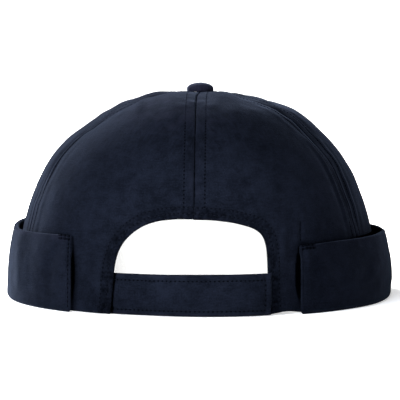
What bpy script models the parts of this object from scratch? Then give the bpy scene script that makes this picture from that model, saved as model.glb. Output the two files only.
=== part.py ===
"""A brimless docker hat: a six-panel cotton crown with a covered button, a turned-up cuff, and an arched
back opening that is closed below by a strap. Metres, +Z up, the back of the hat towards -Y.

Azimuths are in degrees round the hat, seen from above: 0 is the middle of the back (-Y) and 90 is the
wearer's right (+X). The rise goes from 0 at the hem to 1 at the top of the crown."""

import math
from collections import namedtuple

import bmesh
import bpy
from mathutils import Vector

# Crown, sized over the outer face of its cloth
CROWN_HALF_WIDTH = 0.0935
CROWN_HALF_DEPTH = 0.098
CROWN_HEIGHT = 0.105
CROWN_FULLNESS = 2.3
CROWN_CLOTH = 0.0012

# The panels meet, and the button sits, a little to the right of the middle. From a share of the rise the
# crown leans over to there.
TOP_SHIFT = 0.0015
TOP_SHIFT_FROM = 0.86

# The hem is drawn up a little beside the strap's end, round an azimuth and up to a share of the rise
HEM_LIFT = 0.0012
HEM_LIFT_AZIMUTH = 27.5
HEM_LIFT_SPREAD = 4.5
HEM_LIFT_TO = 0.12

# Clearance between pieces that are sewn together or lie on each other
SEWN_GAP = 0.0003

# Panels. Each seam lies in a shallow valley between two panels that puff out. The puff begins, is full and
# fades away at three shares of the rise.
Seam = namedtuple("Seam", "name azimuth")
SEAMS = (
    Seam("back", -1.0),
    Seam("right_back", 62.0),
    Seam("right_front", 121.0),
    Seam("front", 180.0),
    Seam("left_front", 238.0),
    Seam("left_back", 289.0),
)
PANELS = (
    "crown_back_right",
    "crown_side_right",
    "crown_front_right",
    "crown_front_left",
    "crown_side_left",
    "crown_back_left",
)
PANEL_PUFF = 0.0016
PUFF_FROM = 0.15
PUFF_FULL = 0.55
PUFF_FADES = 0.88

# Broad dents and swells of the soft crown. Depth is a share of the crown's height, inwards when positive.
Dent = namedtuple("Dent", "azimuth rise azimuth_spread rise_spread depth")
DENTS = (
    Dent(-80.0, 0.64, 40.0, 0.12, 0.015),
    Dent(85.0, 0.67, 40.0, 0.09, -0.009),
    Dent(0.0, 0.35, 28.0, 0.16, -0.006),
    Dent(180.0, 0.45, 50.0, 0.25, -0.012),
)

# Back opening, an arch measured each way from the back seam. Each half has an upright side, a shoulder
# that cuts off the corner on a slant, and the level top, blended where they meet. The slant is the direction
# that the shoulder faces, in degrees above the level. The feet flare out to the hem.
OPENING_LEFT = 0.0383
OPENING_RIGHT = 0.0352
OPENING_HEIGHT = 0.0460
OPENING_SQUARENESS = 12.0
LEFT_SLANT = 47.5
LEFT_CUT = 0.0102
LEFT_FLARE = 0.0023
RIGHT_SLANT = 63.5
RIGHT_CUT = 0.0057
RIGHT_FLARE = 0.0006

# Facing, the tape inside the arch, which starts a little back from the arch's edge
FACING_SETBACK = 0.0007
FACING_WIDTH = 0.011
FACING_CLOTH = 0.0010

# Strap: the outer tab comes from under the left edge and laps over the right edge
STRAP_HEIGHT = 0.0200
STRAP_CLOTH = 0.0020
STRAP_TUCK = 0.0085
STRAP_LAP = 0.0004
STRAP_BEHIND_FOR = 0.0055
STRAP_IN_FRONT_FOR = 0.0125
UNDER_TAB_CLOTH = 0.0015
UNDER_TAB_INSET = 0.0010
UNDER_TAB_REACH = 0.028
UNDER_TAB_TUCK = 0.0090
GRIP_PAD_THICKNESS = 0.0012
GRIP_PAD_LENGTH = 0.0215
GRIP_PAD_BORDER = 0.0025
GRIP_PAD_SETBACK = 0.0035

# Sweatband inside the hem
SWEATBAND_HEIGHT = 0.0360
SWEATBAND_CLOTH = 0.0010
SWEATBAND_LIFT = 0.0008
SWEATBAND_SETBACK = 0.0010

# Cuff, turned up round the sides and the front. Its inner leg is sewn to the crown's hem, its fold is the
# foot that the hat stands on, and its outer leg stands off the crown. Seen from behind, the ends of the
# outer leg are upright, and the bare crown beside them has a named width. The inner leg's ends are set back.
# The room inside the fold, and behind the outer leg at its belly and its top edge, is a named size that each
# row of the table scales, from the left end round the front to the right end. Square says how full the
# fold's half-round section is: 2 is a half circle.
CUFF_HEIGHT = 0.0355
CUFF_CLOTH = 0.0016
CUFF_INNER_LEG = 0.0060
CUFF_FOLD_ROOM = 0.0023
CUFF_BELLY_ROOM = 0.0042
CUFF_TOP_ROOM = 0.0042
CUFF_BELLY_AT = 0.50
CUFF_BARE_LEFT = 0.0195
CUFF_BARE_RIGHT = 0.0154
CUFF_LEG_SETBACK = 0.0020
CuffRow = namedtuple("CuffRow", "along height fold square belly top")
CUFF_ROWS = (
    CuffRow(0.00, 1.050, 0.35, 2.0, 0.80, 0.12),
    CuffRow(0.04, 1.045, 0.45, 2.0, 0.80, 0.32),
    CuffRow(0.12, 1.030, 0.85, 2.1, 0.88, 0.72),
    CuffRow(0.25, 1.100, 0.95, 2.3, 0.95, 0.92),
    CuffRow(0.50, 1.000, 1.00, 2.4, 1.00, 1.00),
    CuffRow(0.75, 0.970, 1.85, 3.0, 1.45, 1.38),
    CuffRow(0.87, 0.985, 1.40, 3.0, 1.22, 1.05),
    CuffRow(0.96, 0.955, 0.75, 2.4, 0.90, 0.36),
    CuffRow(1.00, 0.940, 0.45, 2.0, 0.82, 0.12),
)

# Button, riveted through a hole where the panels meet
BUTTON_RADIUS = 0.0065
BUTTON_HEIGHT = 0.0045
BUTTON_ROUNDNESS = 2.3
BUTTON_POST_RADIUS = 0.0015
BUTTON_HOLE_ROOM = 0.0008
BUTTON_WASHER_RADIUS = 0.0050
BUTTON_WASHER_THICKNESS = 0.0008

# Facets, and the angle past which an edge is shaded sharp
Facets = namedtuple("Facets", "across up")
PANEL_FACETS = Facets(12, 14)
CUFF_FACETS = Facets(60, 11)
CUFF_LEG_FACETS = 1
CUFF_FOLD_FACETS = 5
BAND_FACETS = Facets(48, 3)
ARCH_FACETS = Facets(30, 2)
STRAP_FACETS = Facets(24, 3)
BUTTON_FACETS = Facets(24, 5)
SHARP_EDGE = 40.0

NAVY = (0.0135, 0.0185, 0.0320, 1.0)
NAVY_REVERSE = (0.0180, 0.0240, 0.0390, 1.0)
BUTTON_NAVY = (0.0160, 0.0195, 0.0350, 1.0)
WHITE_COTTON = (0.80, 0.80, 0.78, 1.0)
GRIP_NAVY = (0.0080, 0.0110, 0.0190, 1.0)


def clear_scene():
    for obj in list(bpy.data.objects):
        bpy.data.objects.remove(obj, do_unlink=True)


def smooth_step(low, high, value):
    """0 below low, 1 above high, and an even S-curve between them."""
    share = min(1.0, max(0.0, (value - low) / (high - low)))
    return share * share * (3.0 - 2.0 * share)


def read_rows(rows, column, along):
    """The value of a named column at a place along a table of rows, eased from row to row."""
    for before, after in zip(rows, rows[1:]):
        if along <= after.along:
            break
    ease = smooth_step(before.along, after.along, along)
    return getattr(before, column) * (1.0 - ease) + getattr(after, column) * ease


def plan_share(rise):
    """How wide the crown is at this rise, as a share of its width at the hem: a superellipse's run."""
    return math.cos(rise * math.pi / 2) ** (2 / CROWN_FULLNESS)


def height_share(rise):
    """How high the crown is at this rise, as a share of its height: the same superellipse's climb."""
    return math.sin(rise * math.pi / 2) ** (2 / CROWN_FULLNESS)


def rise_at_height(height):
    share = min(1.0, max(0.0, height / CROWN_HEIGHT))
    return math.asin(share ** (CROWN_FULLNESS / 2)) * 2 / math.pi


def rise_at_plan(share):
    return math.acos(share ** (CROWN_FULLNESS / 2)) * 2 / math.pi


def azimuth_at(x, height):
    """The azimuth, on the back half, where the crown at this height is x to the side of the middle."""
    reach = CROWN_HALF_WIDTH * plan_share(rise_at_height(height))
    return math.degrees(math.asin(max(-1.0, min(1.0, x / reach))))


def outward(azimuth):
    """The level direction that points straight out of the hat's side."""
    turn = math.radians(azimuth)
    return Vector((math.sin(turn) / CROWN_HALF_WIDTH, -math.cos(turn) / CROWN_HALF_DEPTH, 0)).normalized()


def crown_normal(azimuth, rise):
    """The direction out of the plain crown: the gradient of its superellipsoid."""
    turn = math.radians(azimuth)
    level = plan_share(rise) ** (CROWN_FULLNESS - 1)
    climb = height_share(rise) ** (CROWN_FULLNESS - 1)
    return Vector(
        (
            level * math.sin(turn) / CROWN_HALF_WIDTH,
            -level * math.cos(turn) / CROWN_HALF_DEPTH,
            climb / CROWN_HEIGHT,
        )
    ).normalized()


def panel_puff(azimuth, rise):
    """How far the cloth puffs out between its two seams: nothing at a seam, and most midway."""
    turned = (azimuth - SEAMS[0].azimuth) % 360.0
    starts = [seam.azimuth - SEAMS[0].azimuth for seam in SEAMS] + [360.0]
    for start, end in zip(starts, starts[1:]):
        if turned <= end:
            break
    across = math.sin(math.pi * (turned - start) / (end - start))
    upward = smooth_step(PUFF_FROM, PUFF_FULL, rise) * (1.0 - smooth_step(PUFF_FADES, 1.0, rise))
    return PANEL_PUFF * across * upward


def dents(azimuth, rise):
    """The broad dents, each a bell curve round its own place."""
    total = 0.0
    for dent in DENTS:
        turn = (azimuth - dent.azimuth + 180.0) % 360.0 - 180.0
        far = (turn / dent.azimuth_spread) ** 2 + ((rise - dent.rise) / dent.rise_spread) ** 2
        total += dent.depth * CROWN_HEIGHT * math.exp(-far)
    return total


def hem_lift(azimuth, rise):
    """How far the hem is drawn up: a bell curve round its place, fading away up the crown."""
    turn = (azimuth - HEM_LIFT_AZIMUTH + 180.0) % 360.0 - 180.0
    return HEM_LIFT * math.exp(-((turn / HEM_LIFT_SPREAD) ** 2)) * (1.0 - smooth_step(0.0, HEM_LIFT_TO, rise))


def crown_point(azimuth, rise, proud=0.0):
    """A point of the crown's outer face, or one that stands proud of it along its normal. The hem is
    sewn just above the cuff's foot, so that the foot alone meets what the hat stands on."""
    turn = math.radians(azimuth)
    run = plan_share(rise)
    base = Vector(
        (
            CROWN_HALF_WIDTH * run * math.sin(turn) + TOP_SHIFT * smooth_step(TOP_SHIFT_FROM, 1.0, rise),
            -CROWN_HALF_DEPTH * run * math.cos(turn),
            CROWN_HEIGHT * height_share(rise) + SEWN_GAP + hem_lift(azimuth, rise),
        )
    )
    lift = proud + panel_puff(azimuth, rise) - dents(azimuth, rise)
    return base + crown_normal(azimuth, rise) * lift


def seam_step(rise):
    """Half a seam's gap as an azimuth, which widens in degrees as the crown narrows to its top."""
    reach = plan_share(rise) * min(CROWN_HALF_WIDTH, CROWN_HALF_DEPTH)
    return math.degrees(SEWN_GAP / 2 / reach)


def hole_rise():
    """The rise of the small hole at the top, which the button's post passes with clearance."""
    radius = BUTTON_POST_RADIUS + BUTTON_HOLE_ROOM
    return rise_at_plan(radius / min(CROWN_HALF_WIDTH, CROWN_HALF_DEPTH))


def to_pattern(azimuth, rise):
    """Lays the crown out flat as a disc: its top is the middle and its hem the rim."""
    turn = math.radians(azimuth)
    return Vector((math.sin(turn), math.cos(turn))) * (1.0 - rise)


def from_pattern(point):
    return math.degrees(math.atan2(point.x, point.y)), max(0.0, 1.0 - point.length)


def shoulder(side):
    """The half width, the slant, the cut and the flare of one side of the arch."""
    if side < 0:
        return OPENING_LEFT, LEFT_SLANT, LEFT_CUT, LEFT_FLARE
    return OPENING_RIGHT, RIGHT_SLANT, RIGHT_CUT, RIGHT_FLARE


def back_seam_x():
    """Where the back seam meets the top of the opening, to the side of the hat's middle."""
    reach = CROWN_HALF_WIDTH * plan_share(rise_at_height(OPENING_HEIGHT))
    return reach * math.sin(math.radians(SEAMS[0].azimuth))


def arch_point(side, along, grow=0.0):
    """A point of the opening's edge as x and height. Along goes from 0 at the top to 1 at the foot as a turn
    seen from the middle of the hem, side is -1 on the left and 1 on the right, and grow widens the arch. Its
    straight sides are blended as a superellipse blends two, by a power of the reach to each."""
    width, slant, cut, flare = shoulder(side)
    turn = along * math.pi / 2
    out, over = math.sin(turn), max(0.0, math.cos(turn))
    level, upright = math.cos(math.radians(slant)), math.sin(math.radians(slant))
    shoulder_far = width * level + OPENING_HEIGHT * upright - cut
    straights = (
        out / (width + grow),
        over / (OPENING_HEIGHT + grow),
        (out * level + over * upright) / (shoulder_far + grow),
    )
    reach = sum(straight**OPENING_SQUARENESS for straight in straights) ** (-1 / OPENING_SQUARENESS)
    flared = flare * max(0.0, 1 - reach * over / OPENING_HEIGHT) ** 2
    return back_seam_x() + side * max(SEWN_GAP / 2, reach * out + flared), reach * over


def arch_azimuth_rise(side, along, grow=0.0):
    x, height = arch_point(side, along, grow)
    return azimuth_at(x, height), rise_at_height(height)


def material(name, colour, roughness):
    made = bpy.data.materials.new(name)
    made.use_nodes = True
    shader = made.node_tree.nodes["Principled BSDF"]
    shader.inputs["Base Color"].default_value = colour
    shader.inputs["Roughness"].default_value = roughness
    shader.inputs["Metallic"].default_value = 0.0
    made.diffuse_color = colour
    return made


def add_to_hat(name, mesh, hat, finish):
    """Links the mesh as a named piece under the hat's empty."""
    obj = bpy.data.objects.new(name, mesh)
    bpy.data.collections[hat.name].objects.link(obj)
    obj.parent = hat
    mesh.materials.append(finish)
    mesh.shade_smooth()
    mesh.set_sharp_from_angle(angle=math.radians(SHARP_EDGE))
    return obj


def sheet(name, facets, place, hat, finish, thickness):
    """A cloth wall: a flat grid whose points are moved to place(across, up), both from 0 to 1, and then
    given its thickness on the inner side."""
    mesh = bpy.data.meshes.new(name)
    cloth = bmesh.new()
    bmesh.ops.create_grid(cloth, x_segments=facets.across, y_segments=facets.up, size=0.5)
    for vert in cloth.verts:
        vert.co = place(vert.co.x + 0.5, vert.co.y + 0.5)
    cloth.to_mesh(mesh)
    cloth.free()
    obj = add_to_hat(name, mesh, hat, finish)
    wall = obj.modifiers.new("Cloth", "SOLIDIFY")
    wall.thickness = thickness
    wall.offset = -1.0
    wall.use_even_offset = True
    return obj


def crown_panel(index, hat, finish):
    """A plain panel: a gore from one seam to the next and from the hem to the hole at the top."""
    start = SEAMS[index].azimuth
    end = SEAMS[(index + 1) % len(SEAMS)].azimuth
    top = hole_rise()

    def place(across, up):
        rise = up * top
        step = seam_step(rise)
        return crown_point(start + step + across * (end - start - 2 * step), rise)

    return sheet(PANELS[index], PANEL_FACETS, place, hat, finish, CROWN_CLOTH)


def back_panel(side, hat, finish):
    """A back panel, whose lower corner is cut away by the arch. In the flat pattern it is a four-sided
    patch between the arch's edge, the hem, the side seam and the back seam."""
    centre = SEAMS[0].azimuth
    edge = SEAMS[1].azimuth if side > 0 else SEAMS[-1].azimuth - 360.0
    top = hole_rise()
    arch_rise = arch_azimuth_rise(side, 0.0)[1]
    foot = arch_azimuth_rise(side, 1.0)[0]

    def on_arch(along):
        return to_pattern(*arch_azimuth_rise(side, along))

    def on_side_seam(along):
        """The first step goes round the rim of the button's hole, and the rest goes down the seam."""
        if along == 0.0:
            return on_back_seam(1.0)
        rise = top * (1.0 - (along * PANEL_FACETS.up - 1) / (PANEL_FACETS.up - 1))
        return to_pattern(edge - side * seam_step(rise), rise)

    def on_back_seam(across):
        rise = arch_rise + across * (top - arch_rise)
        return to_pattern(centre + side * seam_step(rise), rise)

    def on_hem(across):
        return to_pattern(foot + across * (edge - side * seam_step(0.0) - foot), 0.0)

    def patch(along, across):
        """A Coons patch: the two surfaces ruled between facing edges, less the one between the corners."""
        corners = (
            on_arch(0.0) * (1 - along) * (1 - across)
            + on_arch(1.0) * along * (1 - across)
            + on_side_seam(0.0) * (1 - along) * across
            + on_side_seam(1.0) * along * across
        )
        ruled = on_arch(along) * (1 - across) + on_side_seam(along) * across
        crossed = on_back_seam(across) * (1 - along) + on_hem(across) * along
        return crown_point(*from_pattern(ruled + crossed - corners))

    def place(first, second):
        return patch(first, second) if side > 0 else patch(second, first)

    name = PANELS[0] if side > 0 else PANELS[-1]
    facets = Facets(PANEL_FACETS.up, PANEL_FACETS.across) if side > 0 else PANEL_FACETS
    return sheet(name, facets, place, hat, finish, CROWN_CLOTH)


def strap_top_along(side):
    """How far down the arch's edge the strap's top edge crosses it, found by halving the stretch."""
    above, below = 0.0, 1.0
    for _ in range(30):
        middle = (above + below) / 2
        if arch_point(side, middle)[1] > STRAP_HEIGHT + SEWN_GAP:
            above = middle
        else:
            below = middle
    return below


def opening_facing(hat, finish):
    """The tape that is turned to the inside of the arch, from the strap's one end to its other."""
    left, right = strap_top_along(-1), strap_top_along(1)

    def place(across, up):
        along = (across - 0.5) * 2
        side = 1 if along >= 0 else -1
        reach = right if side > 0 else left
        grow = FACING_SETBACK + up * (FACING_WIDTH - FACING_SETBACK)
        azimuth, rise = arch_azimuth_rise(side, abs(along) * reach, grow)
        return crown_point(azimuth, rise, -CROWN_CLOTH - SEWN_GAP)

    return sheet("opening_facing", ARCH_FACETS, place, hat, finish, FACING_CLOTH)


def hem_azimuth(x):
    return azimuth_at(x, 0.0)


def left_foot():
    return arch_point(-1, 1.0)[0]


def right_foot():
    return arch_point(1, 1.0)[0]


def sweatband(hat, finish):
    """The band inside the hem, from one side of the opening round the front to the other. It stops clear
    of the facing and of the tucked ends of the strap and its tab."""
    start = hem_azimuth(right_foot() + max(FACING_WIDTH, UNDER_TAB_TUCK) + SWEATBAND_SETBACK)
    end = 360.0 + hem_azimuth(left_foot() - max(FACING_WIDTH, STRAP_TUCK) - SWEATBAND_SETBACK)

    def place(across, up):
        height = SWEATBAND_LIFT + up * (SWEATBAND_HEIGHT - SWEATBAND_LIFT)
        azimuth = start + across * (end - start)
        return crown_point(azimuth, rise_at_height(height), -CROWN_CLOTH - SEWN_GAP)

    return sheet("sweatband", BAND_FACETS, place, hat, finish, SWEATBAND_CLOTH)


def strap_proud(x):
    """How far the strap's outer face stands out from the crown's: it starts behind the left edge and
    comes out through the opening to lie on the right edge."""
    behind = -CROWN_CLOTH - SEWN_GAP
    in_front = SEWN_GAP + STRAP_CLOTH
    ease = smooth_step(left_foot() + STRAP_BEHIND_FOR, right_foot() - STRAP_IN_FRONT_FOR, x)
    return behind * (1 - ease) + in_front * ease


def level_strip(name, x_from, x_to, low, high, proud, hat, finish, thickness):
    """A strip that stands on edge along the back of the hat, from one x to another."""

    def place(across, up):
        x = x_from + across * (x_to - x_from)
        height = low + up * (high - low)
        return crown_point(azimuth_at(x, height), rise_at_height(height), proud(x))

    return sheet(name, STRAP_FACETS, place, hat, finish, thickness)


def strap_pieces(hat, finishes):
    """The outer strap, the tab under it and the grip pad that holds the two together."""
    start = left_foot() - STRAP_TUCK
    end = right_foot() + STRAP_LAP
    level_strip("strap", start, end, 0.0, STRAP_HEIGHT, strap_proud, hat, finishes["navy"], STRAP_CLOTH)

    under = STRAP_CLOTH + GRIP_PAD_THICKNESS + 2 * SEWN_GAP
    tab_from = right_foot() - UNDER_TAB_REACH
    tab_to = right_foot() + UNDER_TAB_TUCK
    level_strip(
        "under_tab",
        tab_from,
        tab_to,
        UNDER_TAB_INSET,
        STRAP_HEIGHT - UNDER_TAB_INSET,
        lambda x: strap_proud(x) - under,
        hat,
        finishes["reverse"],
        UNDER_TAB_CLOTH,
    )

    pad_to = right_foot() - GRIP_PAD_SETBACK - SEWN_GAP
    level_strip(
        "grip_pad",
        pad_to - GRIP_PAD_LENGTH,
        pad_to,
        GRIP_PAD_BORDER,
        STRAP_HEIGHT - GRIP_PAD_BORDER,
        lambda x: strap_proud(x) - STRAP_CLOTH - SEWN_GAP,
        hat,
        finishes["grip"],
        GRIP_PAD_THICKNESS,
    )


def cuff_section(along, travel):
    """A point of the cuff's section, as its distance from the crown and its height. Travel goes down the
    inner leg, round the fold and up the outer leg to the top edge. The fold is half a superellipse cut into
    facets, whose lowest one lies flat on what the hat stands on."""
    fold_room = CUFF_FOLD_ROOM * read_rows(CUFF_ROWS, "fold", along)
    belly_room = CUFF_BELLY_ROOM * read_rows(CUFF_ROWS, "belly", along)
    top_room = CUFF_TOP_ROOM * read_rows(CUFF_ROWS, "top", along)
    height = CUFF_HEIGHT * read_rows(CUFF_ROWS, "height", along)
    power = 2 / read_rows(CUFF_ROWS, "square", along)
    radius = CUFF_CLOTH + fold_room / 2
    middle = radius * math.cos(math.pi / (2 * CUFF_FOLD_FACETS)) ** power
    step = travel * CUFF_FACETS.up
    if step <= CUFF_LEG_FACETS:
        share = step / CUFF_LEG_FACETS
        return SEWN_GAP, CUFF_INNER_LEG + share * (middle - CUFF_INNER_LEG)
    if step <= CUFF_LEG_FACETS + CUFF_FOLD_FACETS:
        turn = math.pi * (step - CUFF_LEG_FACETS) / CUFF_FOLD_FACETS
        across = math.copysign(abs(math.cos(turn)) ** power, math.cos(turn))
        return SEWN_GAP + radius - radius * across, middle - radius * max(0.0, math.sin(turn)) ** power
    folded = CUFF_LEG_FACETS + CUFF_FOLD_FACETS
    share = (step - folded) / (CUFF_FACETS.up - folded)
    foot = SEWN_GAP + 2 * radius
    belly = SEWN_GAP + CUFF_CLOTH + belly_room
    top = SEWN_GAP + CUFF_CLOTH + top_room
    if share < CUFF_BELLY_AT:
        ease = math.sin(share / CUFF_BELLY_AT * math.pi / 2)
        stand = foot + (belly - foot) * ease
    else:
        ease = 1 - math.cos((share - CUFF_BELLY_AT) / (1 - CUFF_BELLY_AT) * math.pi / 2)
        stand = belly + (top - belly) * ease
    return stand, middle + share * (height - middle)


def cuff_end(side, stand, height):
    """The azimuth of one end of the cuff, where it stands this far off the crown at this height."""
    x = right_foot() + STRAP_LAP + CUFF_BARE_RIGHT if side > 0 else left_foot() - CUFF_BARE_LEFT
    x += side * CUFF_LEG_SETBACK * (1.0 - smooth_step(0.0, CUFF_CLOTH, stand))
    reach = CROWN_HALF_WIDTH * plan_share(rise_at_height(height)) + stand
    return math.degrees(math.asin(x / reach))


def cuff(hat, finish):
    """The turned-up band: one folded section carried round the hat from end to end."""

    def place(across, up):
        stand, height = cuff_section(1.0 - across, up)
        start, end = cuff_end(1, stand, height), 360.0 + cuff_end(-1, stand, height)
        azimuth = start + across * (end - start)
        wall = crown_point(azimuth, rise_at_height(height))
        return Vector((wall.x, wall.y, height)) + outward(azimuth) * stand

    return sheet("cuff", CUFF_FACETS, place, hat, finish, CUFF_CLOTH)


def button_profile():
    """Half the button's outline from its top, down the dome and the post, to the washer's middle."""
    crown_top = crown_point(0.0, 1.0).z
    seat = crown_top + SEWN_GAP
    under = crown_top - CROWN_CLOTH - SEWN_GAP
    power = 2 / BUTTON_ROUNDNESS
    points = [(0.0, seat + BUTTON_HEIGHT)]
    for ring in range(1, BUTTON_FACETS.up + 1):
        turn = ring / BUTTON_FACETS.up * math.pi / 2
        out = BUTTON_RADIUS * math.sin(turn) ** power
        points.append((out, seat + BUTTON_HEIGHT * max(0.0, math.cos(turn)) ** power))
    points.append((BUTTON_POST_RADIUS, seat))
    points.append((BUTTON_POST_RADIUS, under))
    points.append((BUTTON_WASHER_RADIUS, under))
    points.append((BUTTON_WASHER_RADIUS, under - BUTTON_WASHER_THICKNESS))
    points.append((0.0, under - BUTTON_WASHER_THICKNESS))
    return points


def button(hat, finish):
    """The covered button, its post and the washer inside, turned as one solid."""
    mesh = bpy.data.meshes.new("button")
    outline = bmesh.new()
    verts = [outline.verts.new((radius, 0.0, height)) for radius, height in button_profile()]
    for first, second in zip(verts, verts[1:]):
        outline.edges.new((first, second))
    outline.to_mesh(mesh)
    outline.free()
    obj = add_to_hat("button", mesh, hat, finish)
    obj.location.x = TOP_SHIFT
    turn = obj.modifiers.new("Turn", "SCREW")
    turn.axis = "Z"
    turn.angle = 2 * math.pi
    turn.steps = BUTTON_FACETS.across
    turn.render_steps = BUTTON_FACETS.across
    turn.use_merge_vertices = True
    turn.merge_threshold = 0.00001
    return obj


def centre_over_origin(hat):
    """Moves the hat sideways so that the box round all of it is centred over the origin."""
    bpy.context.view_layer.update()
    view = bpy.context.evaluated_depsgraph_get()
    corners = [
        piece.matrix_world @ Vector(corner)
        for piece in hat.children
        for corner in piece.evaluated_get(view).bound_box
    ]
    for axis in (0, 1):
        spots = [corner[axis] for corner in corners]
        hat.location[axis] = -(min(spots) + max(spots)) / 2


def main():
    clear_scene()
    parts = bpy.data.collections.new("docker_hat")
    bpy.context.scene.collection.children.link(parts)
    hat = bpy.data.objects.new("docker_hat", None)
    parts.objects.link(hat)
    finishes = {
        "navy": material("navy_twill", NAVY, 0.85),
        "reverse": material("navy_reverse", NAVY_REVERSE, 0.9),
        "button": material("button_cloth", BUTTON_NAVY, 0.8),
        "sweatband": material("white_cotton", WHITE_COTTON, 0.9),
        "grip": material("grip_pile", GRIP_NAVY, 0.95),
    }
    for side in (-1, 1):
        back_panel(side, hat, finishes["navy"])
    for index in range(1, len(SEAMS) - 1):
        crown_panel(index, hat, finishes["navy"])
    button(hat, finishes["button"])
    opening_facing(hat, finishes["reverse"])
    sweatband(hat, finishes["sweatband"])
    strap_pieces(hat, finishes)
    cuff(hat, finishes["navy"])
    centre_over_origin(hat)


main()
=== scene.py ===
"""The looks of a brimless docker hat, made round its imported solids: fine cloth over each panel, a rolled
cuff, a closing strap, a covered button, a white band inside, and every stitch that shows.

Metres, +Z up, the back of the hat towards -Y. Azimuths are in degrees round the hat, seen from above: 0 is
the middle of the back (-Y) and 90 is the wearer's right (+X). The rise goes from 0 at the hem to 1 at the
top of the crown. A side is -1 on the left of the back opening and 1 on its right."""

import math
from collections import namedtuple
from itertools import product

import bpy
import numpy as np
from bpy.props import FloatProperty, FloatVectorProperty, PointerProperty
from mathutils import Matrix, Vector


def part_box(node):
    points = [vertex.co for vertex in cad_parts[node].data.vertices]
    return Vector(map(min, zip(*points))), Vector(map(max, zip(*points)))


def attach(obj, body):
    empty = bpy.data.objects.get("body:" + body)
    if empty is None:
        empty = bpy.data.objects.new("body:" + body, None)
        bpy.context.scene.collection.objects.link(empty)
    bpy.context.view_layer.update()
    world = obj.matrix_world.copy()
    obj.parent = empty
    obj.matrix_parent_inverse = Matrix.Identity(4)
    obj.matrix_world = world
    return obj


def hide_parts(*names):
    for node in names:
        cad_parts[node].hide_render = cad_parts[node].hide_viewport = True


bl_info = {
    "name": "Docker hat",
    "version": (1, 0, 0),
    "blender": (4, 5, 0),
    "location": "View3D > Sidebar > Docker hat",
    "description": "Dresses the solids of a brimless docker hat in sewn cotton",
    "category": "Object",
}

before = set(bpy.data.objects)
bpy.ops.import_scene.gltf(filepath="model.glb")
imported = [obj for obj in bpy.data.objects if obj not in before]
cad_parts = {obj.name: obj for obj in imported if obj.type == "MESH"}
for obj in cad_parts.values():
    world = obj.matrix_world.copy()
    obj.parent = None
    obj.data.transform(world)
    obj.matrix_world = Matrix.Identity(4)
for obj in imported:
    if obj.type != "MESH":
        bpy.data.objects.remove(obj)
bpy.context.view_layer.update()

MM = 0.001

# The crown, with the same sizes as its solids
CROWN_HALF_WIDTH = 0.0935
CROWN_HALF_DEPTH = 0.098
CROWN_HEIGHT = 0.105
CROWN_FULLNESS = 2.3
CROWN_CLOTH = 0.0012
CROWN_ROLL = 0.00055  # the cloth's cut edges are rounded over this far
INNER_RELIEF_FROM = (0.036, 0.050)  # between these heights the inside begins to follow the outside
TOP_SHIFT = 0.0015
TOP_SHIFT_FROM = 0.86
HEM_LIFT = 0.0012
HEM_LIFT_AZIMUTH = 27.5
HEM_LIFT_SPREAD = 4.5
HEM_LIFT_TO = 0.12
SEWN_GAP = 0.0003
SEAM_STEP = -0.00004  # sewn edges press into each other by this much
SEAMS = (-1.0, 62.0, 121.0, 180.0, 238.0, 289.0)
SIDE_SEAMS = (1, 5)
PANELS = ("back_right", "side_right", "front_right", "front_left", "side_left", "back_left")
PANEL_PUFF = 0.0016
PUFF_FROM = 0.15
PUFF_FULL = 0.55
PUFF_FADES = 0.88
Dent = namedtuple("Dent", "azimuth rise azimuth_spread rise_spread depth")
DENTS = (
    Dent(-80.0, 0.64, 40.0, 0.12, 0.015),
    Dent(85.0, 0.67, 40.0, 0.09, -0.009),
    Dent(0.0, 0.35, 28.0, 0.16, -0.006),
    Dent(180.0, 0.45, 50.0, 0.25, -0.012),
)

# The crown's sewn cloth
SEAM_VALLEYS = ((0.00040, 0.0006), (0.00025, 0.0024))  # depth and spread
SEAM_ALLOWANCE = 0.00012
SEAM_LINE = 0.00033  # half the width of the painted shade along a seam's groove
SEAM_STITCHES = 0.0007  # how far from a row of stitches the cloth is drawn in
GATHERS = 0.00042
HEM_STEP = 0.00025
ARCH_BINDING = 0.00016
ARCH_STITCHES = 0.0008
ARCH_DARK = 0.68  # how dark the bound edge is painted, and how dark it may be in its hollows, as painted shade
ARCH_DARKEST = 0.93
CROWN_HILLS = (  # depth, size and draw, with the rises between which the unevenness sets in
    ((0.00055, 0.036, 15), 0.02, 0.25),
    ((0.00034, 0.017, 16), 0.0, 0.12),
    ((0.00014, 0.007, 17), -1.0, 0.0),
)

# The back opening and what closes it
OPENING_HEIGHT = 0.0460
OPENING_SQUARENESS = 12.0
Shoulder = namedtuple("Shoulder", "width slant cut flare")
SHOULDERS = {-1: Shoulder(0.0383, 47.5, 0.0102, 0.0023), 1: Shoulder(0.0352, 63.5, 0.0057, 0.0006)}
FACING_SETBACK = 0.0007
FACING_WIDTH = 0.011
FACING_CLOTH = 0.0010
STRAP_HEIGHT = 0.0200
STRAP_CLOTH = 0.0020
STRAP_TUCK = 0.0085
STRAP_LAP = 0.0004
STRAP_BEHIND_FOR = 0.0055
STRAP_IN_FRONT_FOR = 0.0125
UNDER_TAB_CLOTH = 0.0015
UNDER_TAB_INSET = 0.0010
UNDER_TAB_REACH = 0.028
UNDER_TAB_TUCK = 0.0090
GRIP_PAD_THICKNESS = 0.0012
GRIP_PAD_LENGTH = 0.0215
GRIP_PAD_BORDER = 0.0025
GRIP_PAD_SETBACK = 0.0035
SWEATBAND_HEIGHT = 0.0360
SWEATBAND_CLOTH = 0.0010
SWEATBAND_SETBACK = 0.0010

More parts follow.
